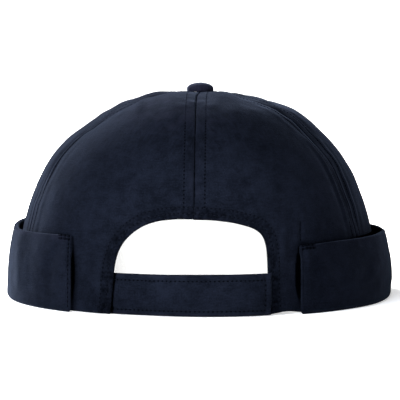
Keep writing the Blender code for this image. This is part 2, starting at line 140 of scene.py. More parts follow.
# The cuff. Each row scales its height, the room in its fold, behind its belly and behind its top edge, or
# says how square its fold is.
CUFF_HEIGHT = 0.0355
CUFF_CLOTH = 0.0016
CUFF_INNER_LEG = 0.0060
CUFF_FOLD_ROOM = 0.0023
CUFF_BELLY_ROOM = 0.0042
CUFF_TOP_ROOM = 0.0042
CUFF_BELLY_AT = 0.50
CUFF_BARE_LEFT = 0.0195
CUFF_BARE_RIGHT = 0.0154
CUFF_LEG_SETBACK = 0.0020
CUFF_ALONG = (0.00, 0.04, 0.12, 0.25, 0.50, 0.75, 0.87, 0.96, 1.00)
CUFF_ROWS = {
    "height": (1.050, 1.045, 1.030, 1.100, 1.000, 0.970, 0.985, 0.955, 0.940),
    "fold": (0.35, 0.45, 0.85, 0.95, 1.00, 1.85, 1.40, 0.75, 0.45),
    "square": (2.0, 2.0, 2.1, 2.3, 2.4, 3.0, 3.0, 2.4, 2.0),
    "belly": (0.80, 0.80, 0.88, 0.95, 1.00, 1.45, 1.22, 0.90, 0.82),
    "top": (0.12, 0.32, 0.72, 0.92, 1.00, 1.38, 1.05, 0.36, 0.12),
}
LEFT_GAP = (0.0030, 0.0345, 0.0021)  # the shade beside each end: its foot, its top and its width
RIGHT_GAP = (0.0030, 0.0348, 0.0029)
CUFF_HEM = 0.0028  # the top edge is turned over, so it is thicker than the rest
CUFF_HEM_DEPTH = 0.009
CUFF_ROLL = 0.0013
CUFF_ROW_DRIFT = 0.62  # moves the outer leg's rows towards its top edge
SEWN_LEG = 0.00065  # the inner leg is drawn this far into the crown

# Small folds, each a bell curve along a line that leans from the upright by so many degrees. The place is x
# on the crown's back and an azimuth on the cuff.
Fold = namedtuple("Fold", "place height lean length width depth")
BACK_FOLDS = (
    Fold(0.0498, 0.0400, 0.0, 0.0060, 0.0009, 0.0006),
    Fold(0.0480, 0.0400, 2.0, 0.0060, 0.0011, -0.0004),
    Fold(0.0518, 0.0405, -4.0, 0.0070, 0.0014, -0.0004),
    Fold(0.0415, 0.0300, 6.0, 0.0100, 0.0016, -0.0004),
    Fold(0.0385, 0.0330, 10.0, 0.0090, 0.0013, 0.0003),
    Fold(0.0445, 0.0270, -3.0, 0.0110, 0.0015, 0.0003),
    Fold(-0.0500, 0.0362, 90.0, 0.0090, 0.0006, 0.0003),
    Fold(-0.0500, 0.0372, 90.0, 0.0090, 0.0011, -0.0002),
    Fold(-0.0470, 0.0200, -6.0, 0.0140, 0.0019, -0.0004),
    Fold(-0.0520, 0.0170, 4.0, 0.0130, 0.0016, 0.0003),
)
CUFF_FOLDS = (
    Fold(32.6, 0.0290, 0.0, 0.0070, 0.0011, 0.0006),
    Fold(34.0, 0.0280, 8.0, 0.0090, 0.0022, -0.0005),
    Fold(39.0, 0.0200, -30.0, 0.0140, 0.0040, -0.0006),
    Fold(50.0, 0.0230, 70.0, 0.0200, 0.0030, 0.0005),
    Fold(58.0, 0.0130, 60.0, 0.0180, 0.0035, -0.0005),
    Fold(-47.0, 0.0200, 12.0, 0.0160, 0.0040, 0.0005),
    Fold(-58.0, 0.0180, 2.0, 0.0200, 0.0055, 0.0003),
    Fold(-67.0, 0.0200, -4.0, 0.0190, 0.0050, -0.0004),
)

# The button on top
BUTTON_RADIUS = 0.0065
BUTTON_HEIGHT = 0.0045
BUTTON_ROUNDNESS = 2.3
BUTTON_TUCK = 0.0012
BUTTON_POST_RADIUS = 0.0015
BUTTON_HOLE_ROOM = 0.0008
BUTTON_WASHER_RADIUS = 0.0050
BUTTON_WASHER_THICKNESS = 0.0008
BUTTON_PLEATS = 11
BUTTON_LOFT = 0.00045  # how much its padded cloth swells over the solid

# Sewing: how far each row of stitches is from the seam or edge that it follows
SEAM_ROW = 0.0050
SEAM_ROW_SHARE = 0.42  # of the crown's radius, near its top
ARCH_ROWS = (0.0025, 0.0053)
STRAP_TOP_ROW = 0.0032
STRAP_LOW_ROW = 0.0025
STRAP_END_ROW = 0.0028
CUFF_END_ROW = 0.0014
TACK_ROWS = (0.0003, 0.0008, 0.0018, 0.0023)
TACK_LENGTH = 0.0095
CREASE_SHADE_X = 0.0498  # a short upright line of dark stitches above the cuff's right corner: painted shade along a crease
CREASE_SHADE_FOOT = 0.0350
CREASE_SHADE_TOP = 0.0443
SWEATBAND_ROW = 0.0020
THREAD_LIFT = 0.00005  # the thread's middle lies this high on the cloth
THREAD_SLANT = 0.06
DIMPLE_SHADE_UP_TO = 0.85  # where the cloth's normal points up by more than this, no dark block of painted shade is put in a dimple

# Finishes of the outer cloth: outside, inside and, with no sheen, where the shade is deeper than this
OUTER_CLOTH = ("brushed_navy", "navy_wrong_side", "navy_in_shade")
DEEP_SHADE = 0.8

# Grids, as points across and up
PANEL_GRID = (104, 130)
BACK_PANEL_GRID = (172, 200)
RIM_SHARE = 0.03  # of a back panel's side edge, which goes round the button's hole
CUFF_GRID = (530, 84)
CUFF_LEG_ROWS = 6
CUFF_FOLD_ROWS = 18
CUFF_FOLDED = CUFF_LEG_ROWS + CUFF_FOLD_ROWS
STRAP_GRID = (190, 64)
TAB_GRID = (80, 24)
BAND_GRID = (260, 30)
ARCH_GRID = (160, 18)
BUTTON_TURNS = 96

# Camera, from the photograph's own lines
VIEW_DISTANCE = 1.05
VIEW_HEIGHT = 0.12
VIEW_AIM = (0.0014, 0.0493)
VIEW_LENS = 181.7

low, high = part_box("button")
AXIS = np.array(((low.x + high.x) / 2 - TOP_SHIFT, (low.y + high.y) / 2, 0.0))
TOP_MIDDLE = AXIS + (TOP_SHIFT, 0.0, 0.0)


# Numbers and noise


def smooth_step(low, high, value):
    """0 on the low side, 1 on the high side, and an even S-curve between them."""
    share = np.clip((value - low) / (high - low), 0.0, 1.0)
    return share * share * (3.0 - 2.0 * share)


def bell(far, spread):
    """1 in the middle, fading evenly to nothing over the spread."""
    return np.exp(-((far / spread) ** 2))


def crowded(count, crowding=0.86):
    """Places from 0 to 1 that stand closest near both ends: an even run less a full sine wave."""
    run = np.linspace(0.0, 1.0, count)
    return run - crowding * np.sin(2 * np.pi * run) / (2 * np.pi)


def crowded_grid(size, across, up):
    """The places across and up of a grid's points, crowded by so much each way."""
    return np.meshgrid(crowded(size[0], across), crowded(size[1], up))


def soft_noise(spots, size, seed):
    """Smooth random hills from -1 to 1: values drawn at the corners of a lattice of cells of this size,
    eased between the corners. The last axis of spots is the three coordinates."""
    scaled = np.asarray(spots) / size + 512.0
    cell = np.floor(scaled).astype(np.int64)
    ease = scaled - cell
    ease = ease * ease * (3.0 - 2.0 * ease)
    drawn = np.random.default_rng(seed).uniform(-1.0, 1.0, 4096)
    total = np.zeros(scaled.shape[:-1])
    for corner in product((0, 1), repeat=3):
        share = np.prod(np.where(corner, ease, 1.0 - ease), axis=-1)
        mixed = (cell + corner) * (73856093, 19349663, 83492791)
        total += share * drawn[(mixed[..., 0] ^ mixed[..., 1] ^ mixed[..., 2]) % len(drawn)]
    return total


def hills(spots, *layers):
    """The sum of soft noise in layers, each given as its depth, the size of its hills and its draw."""
    return sum(depth * soft_noise(spots, size, seed) for depth, size, seed in layers)


def along_and_far(along, far, lane, along_size, far_size, seed):
    """Noise that is drawn out along a seam or an edge, and differs from lane to lane."""
    spots = np.stack((along / along_size, far / far_size, np.zeros_like(along) + lane * 17.3), axis=-1)
    return soft_noise(spots, 1.0, seed)


def unit(vectors):
    """The same directions with a length of 1."""
    return vectors / np.maximum(np.linalg.norm(vectors, axis=-1, keepdims=True), 1e-12)


def turn_from(azimuth, middle):
    """How far round from the middle azimuth, from -180 to 180."""
    return (azimuth - middle + 180.0) % 360.0 - 180.0


def fold_depth(fold, aside, above):
    """One of the small folds, at places so far aside and above its own."""
    lean = math.radians(fold.lean)
    along = above * math.cos(lean) + aside * math.sin(lean)
    across = aside * math.cos(lean) - above * math.sin(lean)
    return fold.depth * bell(along, fold.length) * bell(across, fold.width)


def lengths_along(line):
    """The length of a line of points up to each of them."""
    return np.append(0.0, np.cumsum(np.linalg.norm(np.diff(line, axis=0), axis=1)))


# The crown's form


def plan_share(rise):
    """How wide the crown is at this rise, as a share of its width at the hem: a superellipse's run."""
    return np.clip(np.cos(rise * np.pi / 2), 0.0, 1.0) ** (2 / CROWN_FULLNESS)


def height_share(rise):
    """How high the crown is at this rise, as a share of its height: the same superellipse's climb."""
    return np.clip(np.sin(rise * np.pi / 2), 0.0, 1.0) ** (2 / CROWN_FULLNESS)


def rise_at_height(height):
    """The rise where the crown is this high."""
    share = np.clip(np.asarray(height) / CROWN_HEIGHT, 0.0, 1.0)
    return np.arcsin(share ** (CROWN_FULLNESS / 2)) * 2 / np.pi


def rise_at_plan(share):
    """The rise where the crown is this share of its width."""
    return np.arccos(np.clip(share, 0.0, 1.0) ** (CROWN_FULLNESS / 2)) * 2 / np.pi


def at_back(x, height):
    """Azimuth and rise of the place on the crown's back that is x beside the middle, at this height."""
    rise = rise_at_height(height)
    return np.degrees(np.arcsin(np.clip(x / (CROWN_HALF_WIDTH * plan_share(rise)), -1.0, 1.0))), rise


def outward(azimuth):
    """The level direction that points straight out of the hat's side."""
    turn = np.radians(azimuth)
    level = (np.sin(turn) / CROWN_HALF_WIDTH, -np.cos(turn) / CROWN_HALF_DEPTH, np.zeros_like(turn))
    return unit(np.stack(level, axis=-1))


def crown_normal(azimuth, rise):
    """The direction out of the plain crown: the gradient of its superellipsoid."""
    turn = np.radians(azimuth)
    level = plan_share(rise) ** (CROWN_FULLNESS - 1)
    climb = height_share(rise) ** (CROWN_FULLNESS - 1) / CROWN_HEIGHT + np.zeros_like(turn)
    slope = (level * np.sin(turn) / CROWN_HALF_WIDTH, -level * np.cos(turn) / CROWN_HALF_DEPTH, climb)
    return unit(np.stack(slope, axis=-1))


def panel_puff(azimuth, rise):
    """How far the cloth puffs out between its two seams: nothing at a seam, and most midway."""
    turned = (azimuth - SEAMS[0]) % 360.0
    edges = np.append(np.array(SEAMS) - SEAMS[0], 360.0)
    index = np.clip(np.searchsorted(edges, turned) - 1, 0, len(SEAMS) - 1)
    across = np.sin(np.pi * (turned - edges[index]) / (edges[index + 1] - edges[index]))
    upward = smooth_step(PUFF_FROM, PUFF_FULL, rise) * (1.0 - smooth_step(PUFF_FADES, 1.0, rise))
    return PANEL_PUFF * across * upward


def dents(azimuth, rise):
    """The broad dents, each a bell curve round its own place."""
    total = np.zeros_like(azimuth + rise)
    for dent in DENTS:
        far = (turn_from(azimuth, dent.azimuth) / dent.azimuth_spread) ** 2
        total += dent.depth * CROWN_HEIGHT * np.exp(-(far + ((rise - dent.rise) / dent.rise_spread) ** 2))
    return total


def hem_lift(azimuth, rise):
    """How far the hem is drawn up: a bell curve round its place, fading away up the crown."""
    turn = turn_from(azimuth, HEM_LIFT_AZIMUTH)
    return HEM_LIFT * bell(turn, HEM_LIFT_SPREAD) * (1.0 - smooth_step(0.0, HEM_LIFT_TO, rise))


def crown_point(azimuth, rise, proud=0.0):
    """A point of the crown's outer face, or one that stands proud of it along its normal."""
    turn = np.radians(azimuth)
    run = plan_share(rise)
    base = (
        CROWN_HALF_WIDTH * run * np.sin(turn) + TOP_SHIFT * smooth_step(TOP_SHIFT_FROM, 1.0, rise),
        -CROWN_HALF_DEPTH * run * np.cos(turn),
        CROWN_HEIGHT * height_share(rise) + SEWN_GAP + hem_lift(azimuth, rise),
    )
    lift = proud + panel_puff(azimuth, rise) - dents(azimuth, rise)
    return AXIS + np.stack(base, axis=-1) + crown_normal(azimuth, rise) * lift[..., None]


def crown_layer(azimuth, rise, proud=0.0):
    """The same points with their normals."""
    return crown_point(azimuth, rise, proud), crown_normal(azimuth, rise)


def level_radius(azimuth, rise):
    """How far one radian of azimuth reaches along the crown at this rise."""
    turn = np.radians(azimuth)
    return plan_share(rise) * np.hypot(CROWN_HALF_WIDTH * np.cos(turn), CROWN_HALF_DEPTH * np.sin(turn))


def climb_table():
    """The length of cloth from the hem up to each of many rises, measured up the side of the crown."""
    rises = np.linspace(0.0, 1.0, 600)
    level = np.diff(plan_share(rises)) * CROWN_HALF_DEPTH
    upright = np.diff(height_share(rises)) * CROWN_HEIGHT
    return rises, np.append(0.0, np.cumsum(np.hypot(level, upright)))


CLIMB_RISES, CLIMB_LENGTHS = climb_table()
HOLE_RADIUS = BUTTON_POST_RADIUS + BUTTON_HOLE_ROOM
HOLE_RISE = float(rise_at_plan(HOLE_RADIUS / min(CROWN_HALF_WIDTH, CROWN_HALF_DEPTH)))


def climb_of(rise):
    """The length of cloth up to this rise."""
    return np.interp(rise, CLIMB_RISES, CLIMB_LENGTHS)


def rise_of(climb):
    """The rise at this length of cloth."""
    return np.interp(climb, CLIMB_LENGTHS, CLIMB_RISES)


# The back opening

# Where the back seam meets the top of the opening, beside the hat's middle
BACK_SEAM_X = CROWN_HALF_WIDTH * plan_share(rise_at_height(OPENING_HEIGHT)) * math.sin(math.radians(SEAMS[0]))


def arch_point(side, along, grow=0.0):
    """A point of the opening's edge as x and height: its upright side, slanting shoulder and level top,
    blended as a superellipse blends two, by a power of the reach to each. Along goes from 0 at the top to
    1 at the foot as a turn seen from the middle of the hem, and grow widens the arch."""
    width, slant, cut, flare = SHOULDERS[side]
    turn = np.asarray(along) * np.pi / 2
    out, over = np.sin(turn), np.clip(np.cos(turn), 0.0, 1.0)
    level, upright = math.cos(math.radians(slant)), math.sin(math.radians(slant))
    shoulder_far = width * level + OPENING_HEIGHT * upright - cut
    straights = (
        out / (width + grow),
        over / (OPENING_HEIGHT + grow),
        (out * level + over * upright) / (shoulder_far + grow),
    )
    reach = sum(straight**OPENING_SQUARENESS for straight in straights) ** (-1 / OPENING_SQUARENESS)
    height = reach * over
    flared = flare * np.maximum(0.0, 1 - height / OPENING_HEIGHT) ** 2
    return BACK_SEAM_X + side * np.maximum(SEWN_GAP / 4, reach * out + flared), height


LEFT_FOOT, RIGHT_FOOT = (float(arch_point(side, 1.0)[0]) for side in (-1, 1))
STRAP_START, STRAP_END = LEFT_FOOT - STRAP_TUCK, RIGHT_FOOT + STRAP_LAP
CUFF_LEFT, CUFF_RIGHT = LEFT_FOOT - CUFF_BARE_LEFT, STRAP_END + CUFF_BARE_RIGHT


def arch_edge(far=0.0, count=260):
    """The opening's edge from its left foot over the top to its right foot, as x and height, or the line
    that runs beside it on the cloth at a distance: each point is moved square to the edge."""
    along = np.sin(np.linspace(1.0, 0.0, count) * np.pi / 2)
    left_x, left_height = arch_point(-1, along)
    right_x, right_height = arch_point(1, along[::-1])
    x = np.concatenate((left_x, right_x[1:]))
    height = np.concatenate((left_height, right_height[1:]))
    slant = unit(np.stack((np.gradient(x), np.gradient(height)), axis=-1))
    return x - slant[:, 1] * far, np.maximum(0.0, height + slant[:, 0] * far)


def left_edge_x(height):
    """How far to the side the opening's left edge is at this height."""
    x, level = arch_point(-1, np.linspace(1.0, 0.4, 200))
    return np.interp(height, level, x)


def strap_top_along(side):
    """How far down the arch's edge the strap's top edge crosses it."""
    along = np.linspace(0.0, 1.0, 2000)
    return float(np.interp(-STRAP_HEIGHT - SEWN_GAP, -arch_point(side, along)[1], along))


def strap_proud(x):
    """How far the strap's outer face stands out from the crown's: it starts behind the left edge and
    comes out through the opening to lie on the right edge."""
    ease = smooth_step(LEFT_FOOT + STRAP_BEHIND_FOR, RIGHT_FOOT - STRAP_IN_FRONT_FOR, x)
    return (-CROWN_CLOTH - SEWN_GAP) * (1 - ease) + (SEWN_GAP + STRAP_CLOTH) * ease


# Meshes


def grid_faces(index):
    """Four-sided faces between neighbouring entries of a grid of point numbers."""
    corners = (index[:-1, :-1], index[:-1, 1:], index[1:, 1:], index[1:, :-1])
    return np.stack(corners, axis=-1).reshape(-1, 4)


def ring_faces(index):
    """The faces of a tube, from the point numbers of its rings."""
    return grid_faces(np.concatenate((index, index[:, :1]), axis=1))[:, ::-1]


def put_mesh(name, points, faces, finishes, pattern=None, face_finish=None, layers=None):
    """A new object at the origin from whole arrays of points and of faces, one array for each number of
    corners, with its pattern as a UV map and any named value of each point as an attribute."""
    faces = [np.ascontiguousarray(part, np.int32) for part in faces]
    loops = np.concatenate([part.ravel() for part in faces])
    sizes = np.concatenate([np.full(len(part), part.shape[1]) for part in faces])
    mesh = bpy.data.meshes.new(name)
    mesh.vertices.add(len(points))
    mesh.vertices.foreach_set("co", np.ascontiguousarray(points, np.float32).ravel())
    mesh.loops.add(len(loops))
    mesh.loops.foreach_set("vertex_index", loops)
    mesh.polygons.add(len(sizes))
    mesh.polygons.foreach_set("loop_start", np.append(0, np.cumsum(sizes)[:-1]).astype(np.int32))
    if face_finish is not None:
        mesh.polygons.foreach_set("material_index", face_finish.astype(np.int32))
    mesh.update(calc_edges=True)
    if pattern is not None:
        uv = mesh.uv_layers.new(name="pattern")
        uv.data.foreach_set("uv", pattern[loops].astype(np.float32).ravel())
    for layer, values in (layers or {}).items():
        mesh.attributes.new(layer, "FLOAT", "POINT").data.foreach_set("value", values.astype(np.float32))
    for each in finishes:
        mesh.materials.append(finish(each))
    mesh.shade_smooth()
    obj = bpy.data.objects.new(name, mesh)
    bpy.context.scene.collection.objects.link(obj)
    return obj


def stand_for(obj, slot, *nodes):
    """The piece rides with the hat and stands for these nodes. The slot is not used."""
    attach(obj, "root")
    if nodes:
        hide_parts(*nodes)


def cloth_shell(name, slot, node, base, normal, outer, inner, finishes, roll, pattern=None, **layers):
    """A closed wall of cloth: an outer and an inner face, each the base grid moved along its normals by its
    own distance. Near every edge both faces turn to their middle on a quarter circle and meet there. The
    faces share the points of the edges. Each layer is a value that the finish reads at every point: one
    array for both faces, or an outer and an inner one. The finishes are one for all, or the outer face's,
    the inner face's and the one for deep shade. Where no pattern is given, it is the lengths along the
    grid's own lines, measured from the middle and from the foot."""
    across = np.pad(np.linalg.norm(np.diff(base, axis=1), axis=-1).cumsum(axis=1), ((0, 0), (1, 0)))
    upward = np.pad(np.linalg.norm(np.diff(base, axis=0), axis=-1).cumsum(axis=0), ((1, 0), (0, 0)))
    from_edge = np.minimum.reduce((across, across[:, -1:] - across, upward, upward[-1:] - upward))
    pattern = np.stack((across - across[:, -1:] / 2, upward), axis=-1) if pattern is None else pattern
    share = np.clip(from_edge / roll, 0.0, 1.0)
    turned = np.sqrt(np.maximum(0.0, 1.0 - (1.0 - share) ** 2))
    middle, half = (outer + inner) / 2, (outer - inner) / 2
    front = base + normal * (middle + half * turned)[..., None]
    back = base + normal * (middle - half * turned)[..., None]
    rows, columns = base.shape[:2]
    index = np.arange(rows * columns).reshape(rows, columns)
    behind = index.copy()
    behind[1:-1, 1:-1] = np.arange((rows - 2) * (columns - 2)).reshape(rows - 2, -1) + index.size
    faces = np.concatenate((grid_faces(index), grid_faces(behind)[:, ::-1]))

    def on_both(outside, inside):
        width = outside.shape[2:]
        return np.concatenate((outside.reshape(-1, *width), inside[1:-1, 1:-1].reshape(-1, *width)))

    pairs = {key: part if isinstance(part, tuple) else (part, part) for key, part in layers.items()}
    values = {key: on_both(*pair) for key, pair in pairs.items()}
    face_finish = None
    if len(finishes) > 1:
        side = np.repeat((0, 1), len(faces) // 2)
        face_finish = np.where(values["shade"][faces].mean(axis=1) > DEEP_SHADE, 2, side)
    pattern = on_both(pattern, pattern)
    obj = put_mesh(name, on_both(front, back), [faces], finishes, pattern, face_finish, values)
    stand_for(obj, slot, node)


# The crown's cloth


def nearest_on(line, spots):
    """For each spot, the distance to a line of points and the length along the line to the nearest one."""
    flat = spots.reshape(-1, 3)
    squares = (flat**2).sum(axis=1)[:, None] + (line**2).sum(axis=1)[None, :] - 2 * flat @ line.T
    nearest = squares.argmin(axis=1)
    far = np.sqrt(np.maximum(0.0, squares[np.arange(len(flat)), nearest]))
    return far.reshape(spots.shape[:-1]), lengths_along(line)[nearest].reshape(spots.shape[:-1])


def seam_distance(azimuth, rise):
    """The distance to the nearest seam, measured level, and that seam's number."""
    turn = turn_from(azimuth[..., None], np.array(SEAMS))
    lane = np.abs(turn).argmin(axis=-1)
    nearest = np.take_along_axis(turn, lane[..., None], axis=-1)[..., 0]
    return np.radians(np.abs(nearest)) * level_radius(azimuth, rise), lane


def seam_row_far(radius):
    """How far a seam's rows of stitches are from it: they draw together where the gores run out."""
    return np.minimum(SEAM_ROW, SEAM_ROW_SHARE * radius)


def seam_relief(far, row):
    """Two valleys along a seam, one inside the other, the step of the allowance that is pressed under the
    cloth beside it, and the line where its row of stitches draws the cloth in."""
    relief = -sum(depth * bell(far, spread) for depth, spread in SEAM_VALLEYS)
    relief += SEAM_ALLOWANCE * smooth_step(row + 1.2 * MM, row - 0.5 * MM, far)
    return relief - SEAM_ALLOWANCE * bell(far - row, SEAM_STITCHES)


def arch_relief(spots):
    """The bound edge of the arch: its step, its rows of stitches and the roughness between them, with
    wider waves beyond. Returns the relief, how worn the cloth is, how dark the colour is painted, darker
    over the bound edge and with painted shade in its hollows, and how much of the back seam's painted
    shade shows, from 0 to 1."""
    pucker = bpy.context.scene.hat_cloth.pucker_depth
    far, along = nearest_on(crown_point(*at_back(*arch_edge())), spots)
    last_row = ARCH_ROWS[1]
    relief = ARCH_BINDING * smooth_step(last_row + 1.6 * MM, last_row - 0.6 * MM, far)
    relief -= ARCH_BINDING * sum(bell(far - row, ARCH_STITCHES) for row in ARCH_ROWS)
    rough = along_and_far(along, far, 1.0, 3.6 * MM, 3.0 * MM, 13)
    relief += 2.0 * pucker * rough * bell(far - 3.2 * MM, 3.4 * MM)
    waves = along_and_far(along, far, 2.0, 6.5 * MM, 16.0 * MM, 14)
    relief += 1.1 * pucker * waves * bell(far - 7.0 * MM, 6.0 * MM)
    # Darker over the bound edge, with painted shade in the hollows of its puckers.
    darkening = np.minimum(ARCH_DARKEST, ARCH_DARK + 1.2 * np.maximum(0.0, -rough))
    darkening *= smooth_step(last_row + 2.6 * MM, last_row - 0.8 * MM, far)
    wear = 0.35 * bell(far - 1.0 * MM, 1.0 * MM) * np.maximum(0.0, rough)
    return relief, wear, darkening, 0.4 + 0.6 * smooth_step(3.0 * MM, 10.0 * MM, far)


def crown_relief(azimuth, rise, by_arch=True):
    """What the cloth does over the plain crown: its seams, the short puckers and long streaks beside them,
    gathers under the button, the bound edge of the arch, broad unevenness, the small folds and the hem.
    Returns the relief; how worn the cloth is, with a painted highlight on the top left of the middle, from 0
    to 1;
    and how dark the colour is painted, from 0 to 1.6: painted shade in the puckers' valleys, along each
    seam's groove and on the right shoulder, away from the key light, and the arch's bound edge darker, with
    painted shade in its hollows."""
    pucker = bpy.context.scene.hat_cloth.pucker_depth
    spots = crown_point(azimuth, rise)
    x, height, at_rear = spots[..., 0] - AXIS[0], spots[..., 2], spots[..., 1] < AXIS[1]
    climb, radius = climb_of(rise), level_radius(azimuth, rise)
    far, lane = seam_distance(azimuth, rise)
    at_side = np.isin(lane, SIDE_SEAMS)
    row = seam_row_far(radius)
    by_button = smooth_step(0.4 * BUTTON_RADIUS, 3.6 * BUTTON_RADIUS, radius)
    relief = seam_relief(far, row) * by_button * np.where(at_side, 0.5, 1.0)
    ripple = along_and_far(climb, far, lane, 5.5 * MM, 9.0 * MM, 11)
    relief += 1.2 * pucker * ripple * bell(far - 0.6 * row, 6.5 * MM)
    streak = along_and_far(climb, far, lane, 26.0 * MM, 3.4 * MM, 12) * smooth_step(0.95, 0.35, rise)
    relief += np.where(at_side, 2.0, 1.1) * pucker * streak * bell(far - 4.0 * MM, 10.0 * MM)
    around = np.radians(turn_from(azimuth, 0.0)) * radius
    gathers = along_and_far(climb, around, 3.0, 24.0 * MM, 6.5 * MM, 18) * smooth_step(0.0, 4.0 * MM, far)
    relief += GATHERS * gathers * smooth_step(0.50, 0.80, rise) * by_button
    wear = np.where(lane == SIDE_SEAMS[1], 0.95, 0.40) * bell(far - 1.6 * MM, 1.2 * MM)
    wear *= 0.6 + 0.4 * ripple
    # Painted shade in the valleys of the puckers beside each seam.
    darkening = 0.9 * np.maximum(0.0, -ripple) * bell(far - 0.8 * row, 4.0 * MM)
    # Painted shade along each seam's groove.
    seam_groove_shade = np.where(at_side, 1.0, 1.4) * bell(far, SEAM_LINE)
    if by_arch:
        bound, frayed, dark, clear = arch_relief(spots)
        relief, seam_groove_shade = relief + bound, seam_groove_shade * clear
        wear, darkening = np.maximum(wear, frayed), np.maximum(darkening, dark)
    # Painted highlight on the top, left of the middle, where the light falls on it.
    painted_top_highlight = bell(x + 12.0 * MM, 26.0 * MM) * smooth_step(84.0 * MM, 97.0 * MM, height)
    # Painted shade on the right shoulder, away from the key light.
    shade_away_from_light = 0.50 * bell(x - 36.0 * MM, 22.0 * MM) * smooth_step(62.0 * MM, 84.0 * MM, height)
    for hill, low, high in CROWN_HILLS:
        relief += hills(spots, hill) * smooth_step(low, high, rise)
    relief -= sum(fold_depth(fold, x - fold.place, height - fold.height) for fold in BACK_FOLDS) * at_rear
    relief += HEM_STEP * smooth_step(6.5 * MM, 4.5 * MM, climb) * (np.minimum(*beside_cuff(spots)) > 0)
    darkening = np.maximum.reduce((darkening, seam_groove_shade, shade_away_from_light * at_rear))
    return relief, np.clip(np.maximum(wear, painted_top_highlight), 0.0, 1.0), np.clip(darkening, 0.0, 1.6)


def beside_cuff(spots):
    """How far beyond each end of the cuff these points lie, left and right, and below 0 under the cuff."""
    x, at_rear = spots[..., 0] - AXIS[0], spots[..., 1] < AXIS[1]
    return tuple(np.where(at_rear, far, -CROWN_HALF_WIDTH) for far in (x - CUFF_LEFT, CUFF_RIGHT - x))


def cuff_top(azimuth):
    """How high the cuff's top edge is at this azimuth."""
    start, end = cuff_span(0.0, CUFF_HEIGHT)
    along = 1.0 - np.clip(((azimuth - start + 30.0) % 360.0 - 30.0) / (end - start), 0.0, 1.0)
    return CUFF_HEIGHT * cuff_value("height", along)


def side_depth(azimuth):
    """How deep the shade inside the cuff is: deepest on the side away from the key light."""
    return 0.90 + 0.55 * np.sin(np.radians(azimuth))


def cuff_shade(azimuth, spots):
    """How deep the crown's cloth lies in shade, from 0 to 2: all of it under the cuff, a lens beside each
    of its ends, where the cuff stands away between its fold and its tacked corner, and a line beside the
    strap's end."""
    height = spots[..., 2]
    shade = np.zeros(spots.shape[:-1])
    left, right = beside_cuff(spots)
    for far, (low, high, width) in ((left, LEFT_GAP), (right, RIGHT_GAP)):
        lens = np.clip(1 - ((2 * height - low - high) / (high - low)) ** 2, 0.0, 1.0) ** 0.6
        shade = np.maximum(shade, lens * smooth_step(width * lens + 0.3 * MM, width * lens - 0.3 * MM, far))
    under = smooth_step(0.0, -1.0 * MM, np.minimum(left, right))
    below = smooth_step(0.5 * MM, -1.4 * MM, height - cuff_top(azimuth)) * side_depth(azimuth)
    beyond = np.where(left > 0, spots[..., 0] - AXIS[0] - STRAP_END, 1.0)
    strap_end = smooth_step(-0.3 * MM, 0.0, beyond) * smooth_step(1.1 * MM, 0.5 * MM, beyond)
    strap_end *= smooth_step(STRAP_HEIGHT + 0.5 * MM, STRAP_HEIGHT - 1.5 * MM, height)
    return np.maximum.reduce((2.0 * shade, under * below, 1.6 * strap_end))


def seam_step(rise):
    """The small turn by which a panel's edge passes the seam at this rise."""
    return np.degrees(SEAM_STEP / level_radius(0.0, rise))


def plain_gore(index):
    """Azimuth and rise over a plain panel: a gore from one seam to the next, from the hem to the hole."""
    start, end = SEAMS[index], SEAMS[(index + 1) % len(SEAMS)]
    across, up = crowded_grid(PANEL_GRID, 0.86, 0.55)
    rise = up * HOLE_RISE
    step = seam_step(rise)
    return start + step + across * (end - start - 2 * step), rise


def to_pattern(azimuth, rise):
    """Lays the crown out flat as a disc: its top is the middle and its hem the rim."""
    turn = np.radians(azimuth)
    return np.stack((np.sin(turn), np.cos(turn)), axis=-1) * (1.0 - np.asarray(rise))[..., None]


def back_gore(side):
    """Azimuth and rise over a back panel, whose lower corner is cut away by the arch: a Coons patch in
    the flat pattern, the two surfaces ruled between facing edges less the one between the corners."""
    centre = SEAMS[0]
    edge = SEAMS[1] if side > 0 else SEAMS[-1] - 360.0
    arch_rise = float(at_back(*arch_point(side, 0.0))[1])
    foot = float(at_back(*arch_point(side, 1.0))[0])

    def on_arch(along):
        return to_pattern(*at_back(*arch_point(side, along)))

    def on_side_seam(along):
        """The first stretch goes round the rim of the button's hole, and the rest goes down the seam."""
        rim = np.clip(along / RIM_SHARE, 0.0, 1.0)
        rise = HOLE_RISE * (1.0 - np.clip((along - RIM_SHARE) / (1.0 - RIM_SHARE), 0.0, 1.0))
        seam = edge - side * seam_step(rise)
        start = centre + side * seam_step(HOLE_RISE)
        return to_pattern(start + (seam - start) * rim, rise)

    def on_back_seam(across):
        rise = arch_rise + across * (HOLE_RISE - arch_rise)
        return to_pattern(centre + side * seam_step(rise), rise)

    def on_hem(across):
        return to_pattern(foot + across * (edge - side * seam_step(0.0) - foot), np.zeros_like(across))

    along, across = crowded(BACK_PANEL_GRID[1], 0.80), crowded(BACK_PANEL_GRID[0])
    if side > 0:
        along, across = np.meshgrid(along, across)
    else:
        across, along = np.meshgrid(across, along)
    down, out = along[..., None], across[..., None]
    none, whole = np.zeros_like(along), np.ones_like(along)
    near = on_arch(none) * (1 - down) * (1 - out) + on_arch(whole) * down * (1 - out)
    corners = near + on_side_seam(none) * (1 - down) * out + on_side_seam(whole) * down * out
    ruled = on_arch(along) * (1 - out) + on_side_seam(along) * out
    crossed = on_back_seam(across) * (1 - down) + on_hem(across) * down
    flat = ruled + crossed - corners
    azimuth = np.degrees(np.arctan2(flat[..., 0], flat[..., 1]))
    return azimuth, np.clip(1.0 - np.linalg.norm(flat, axis=-1), 0.0, 1.0)


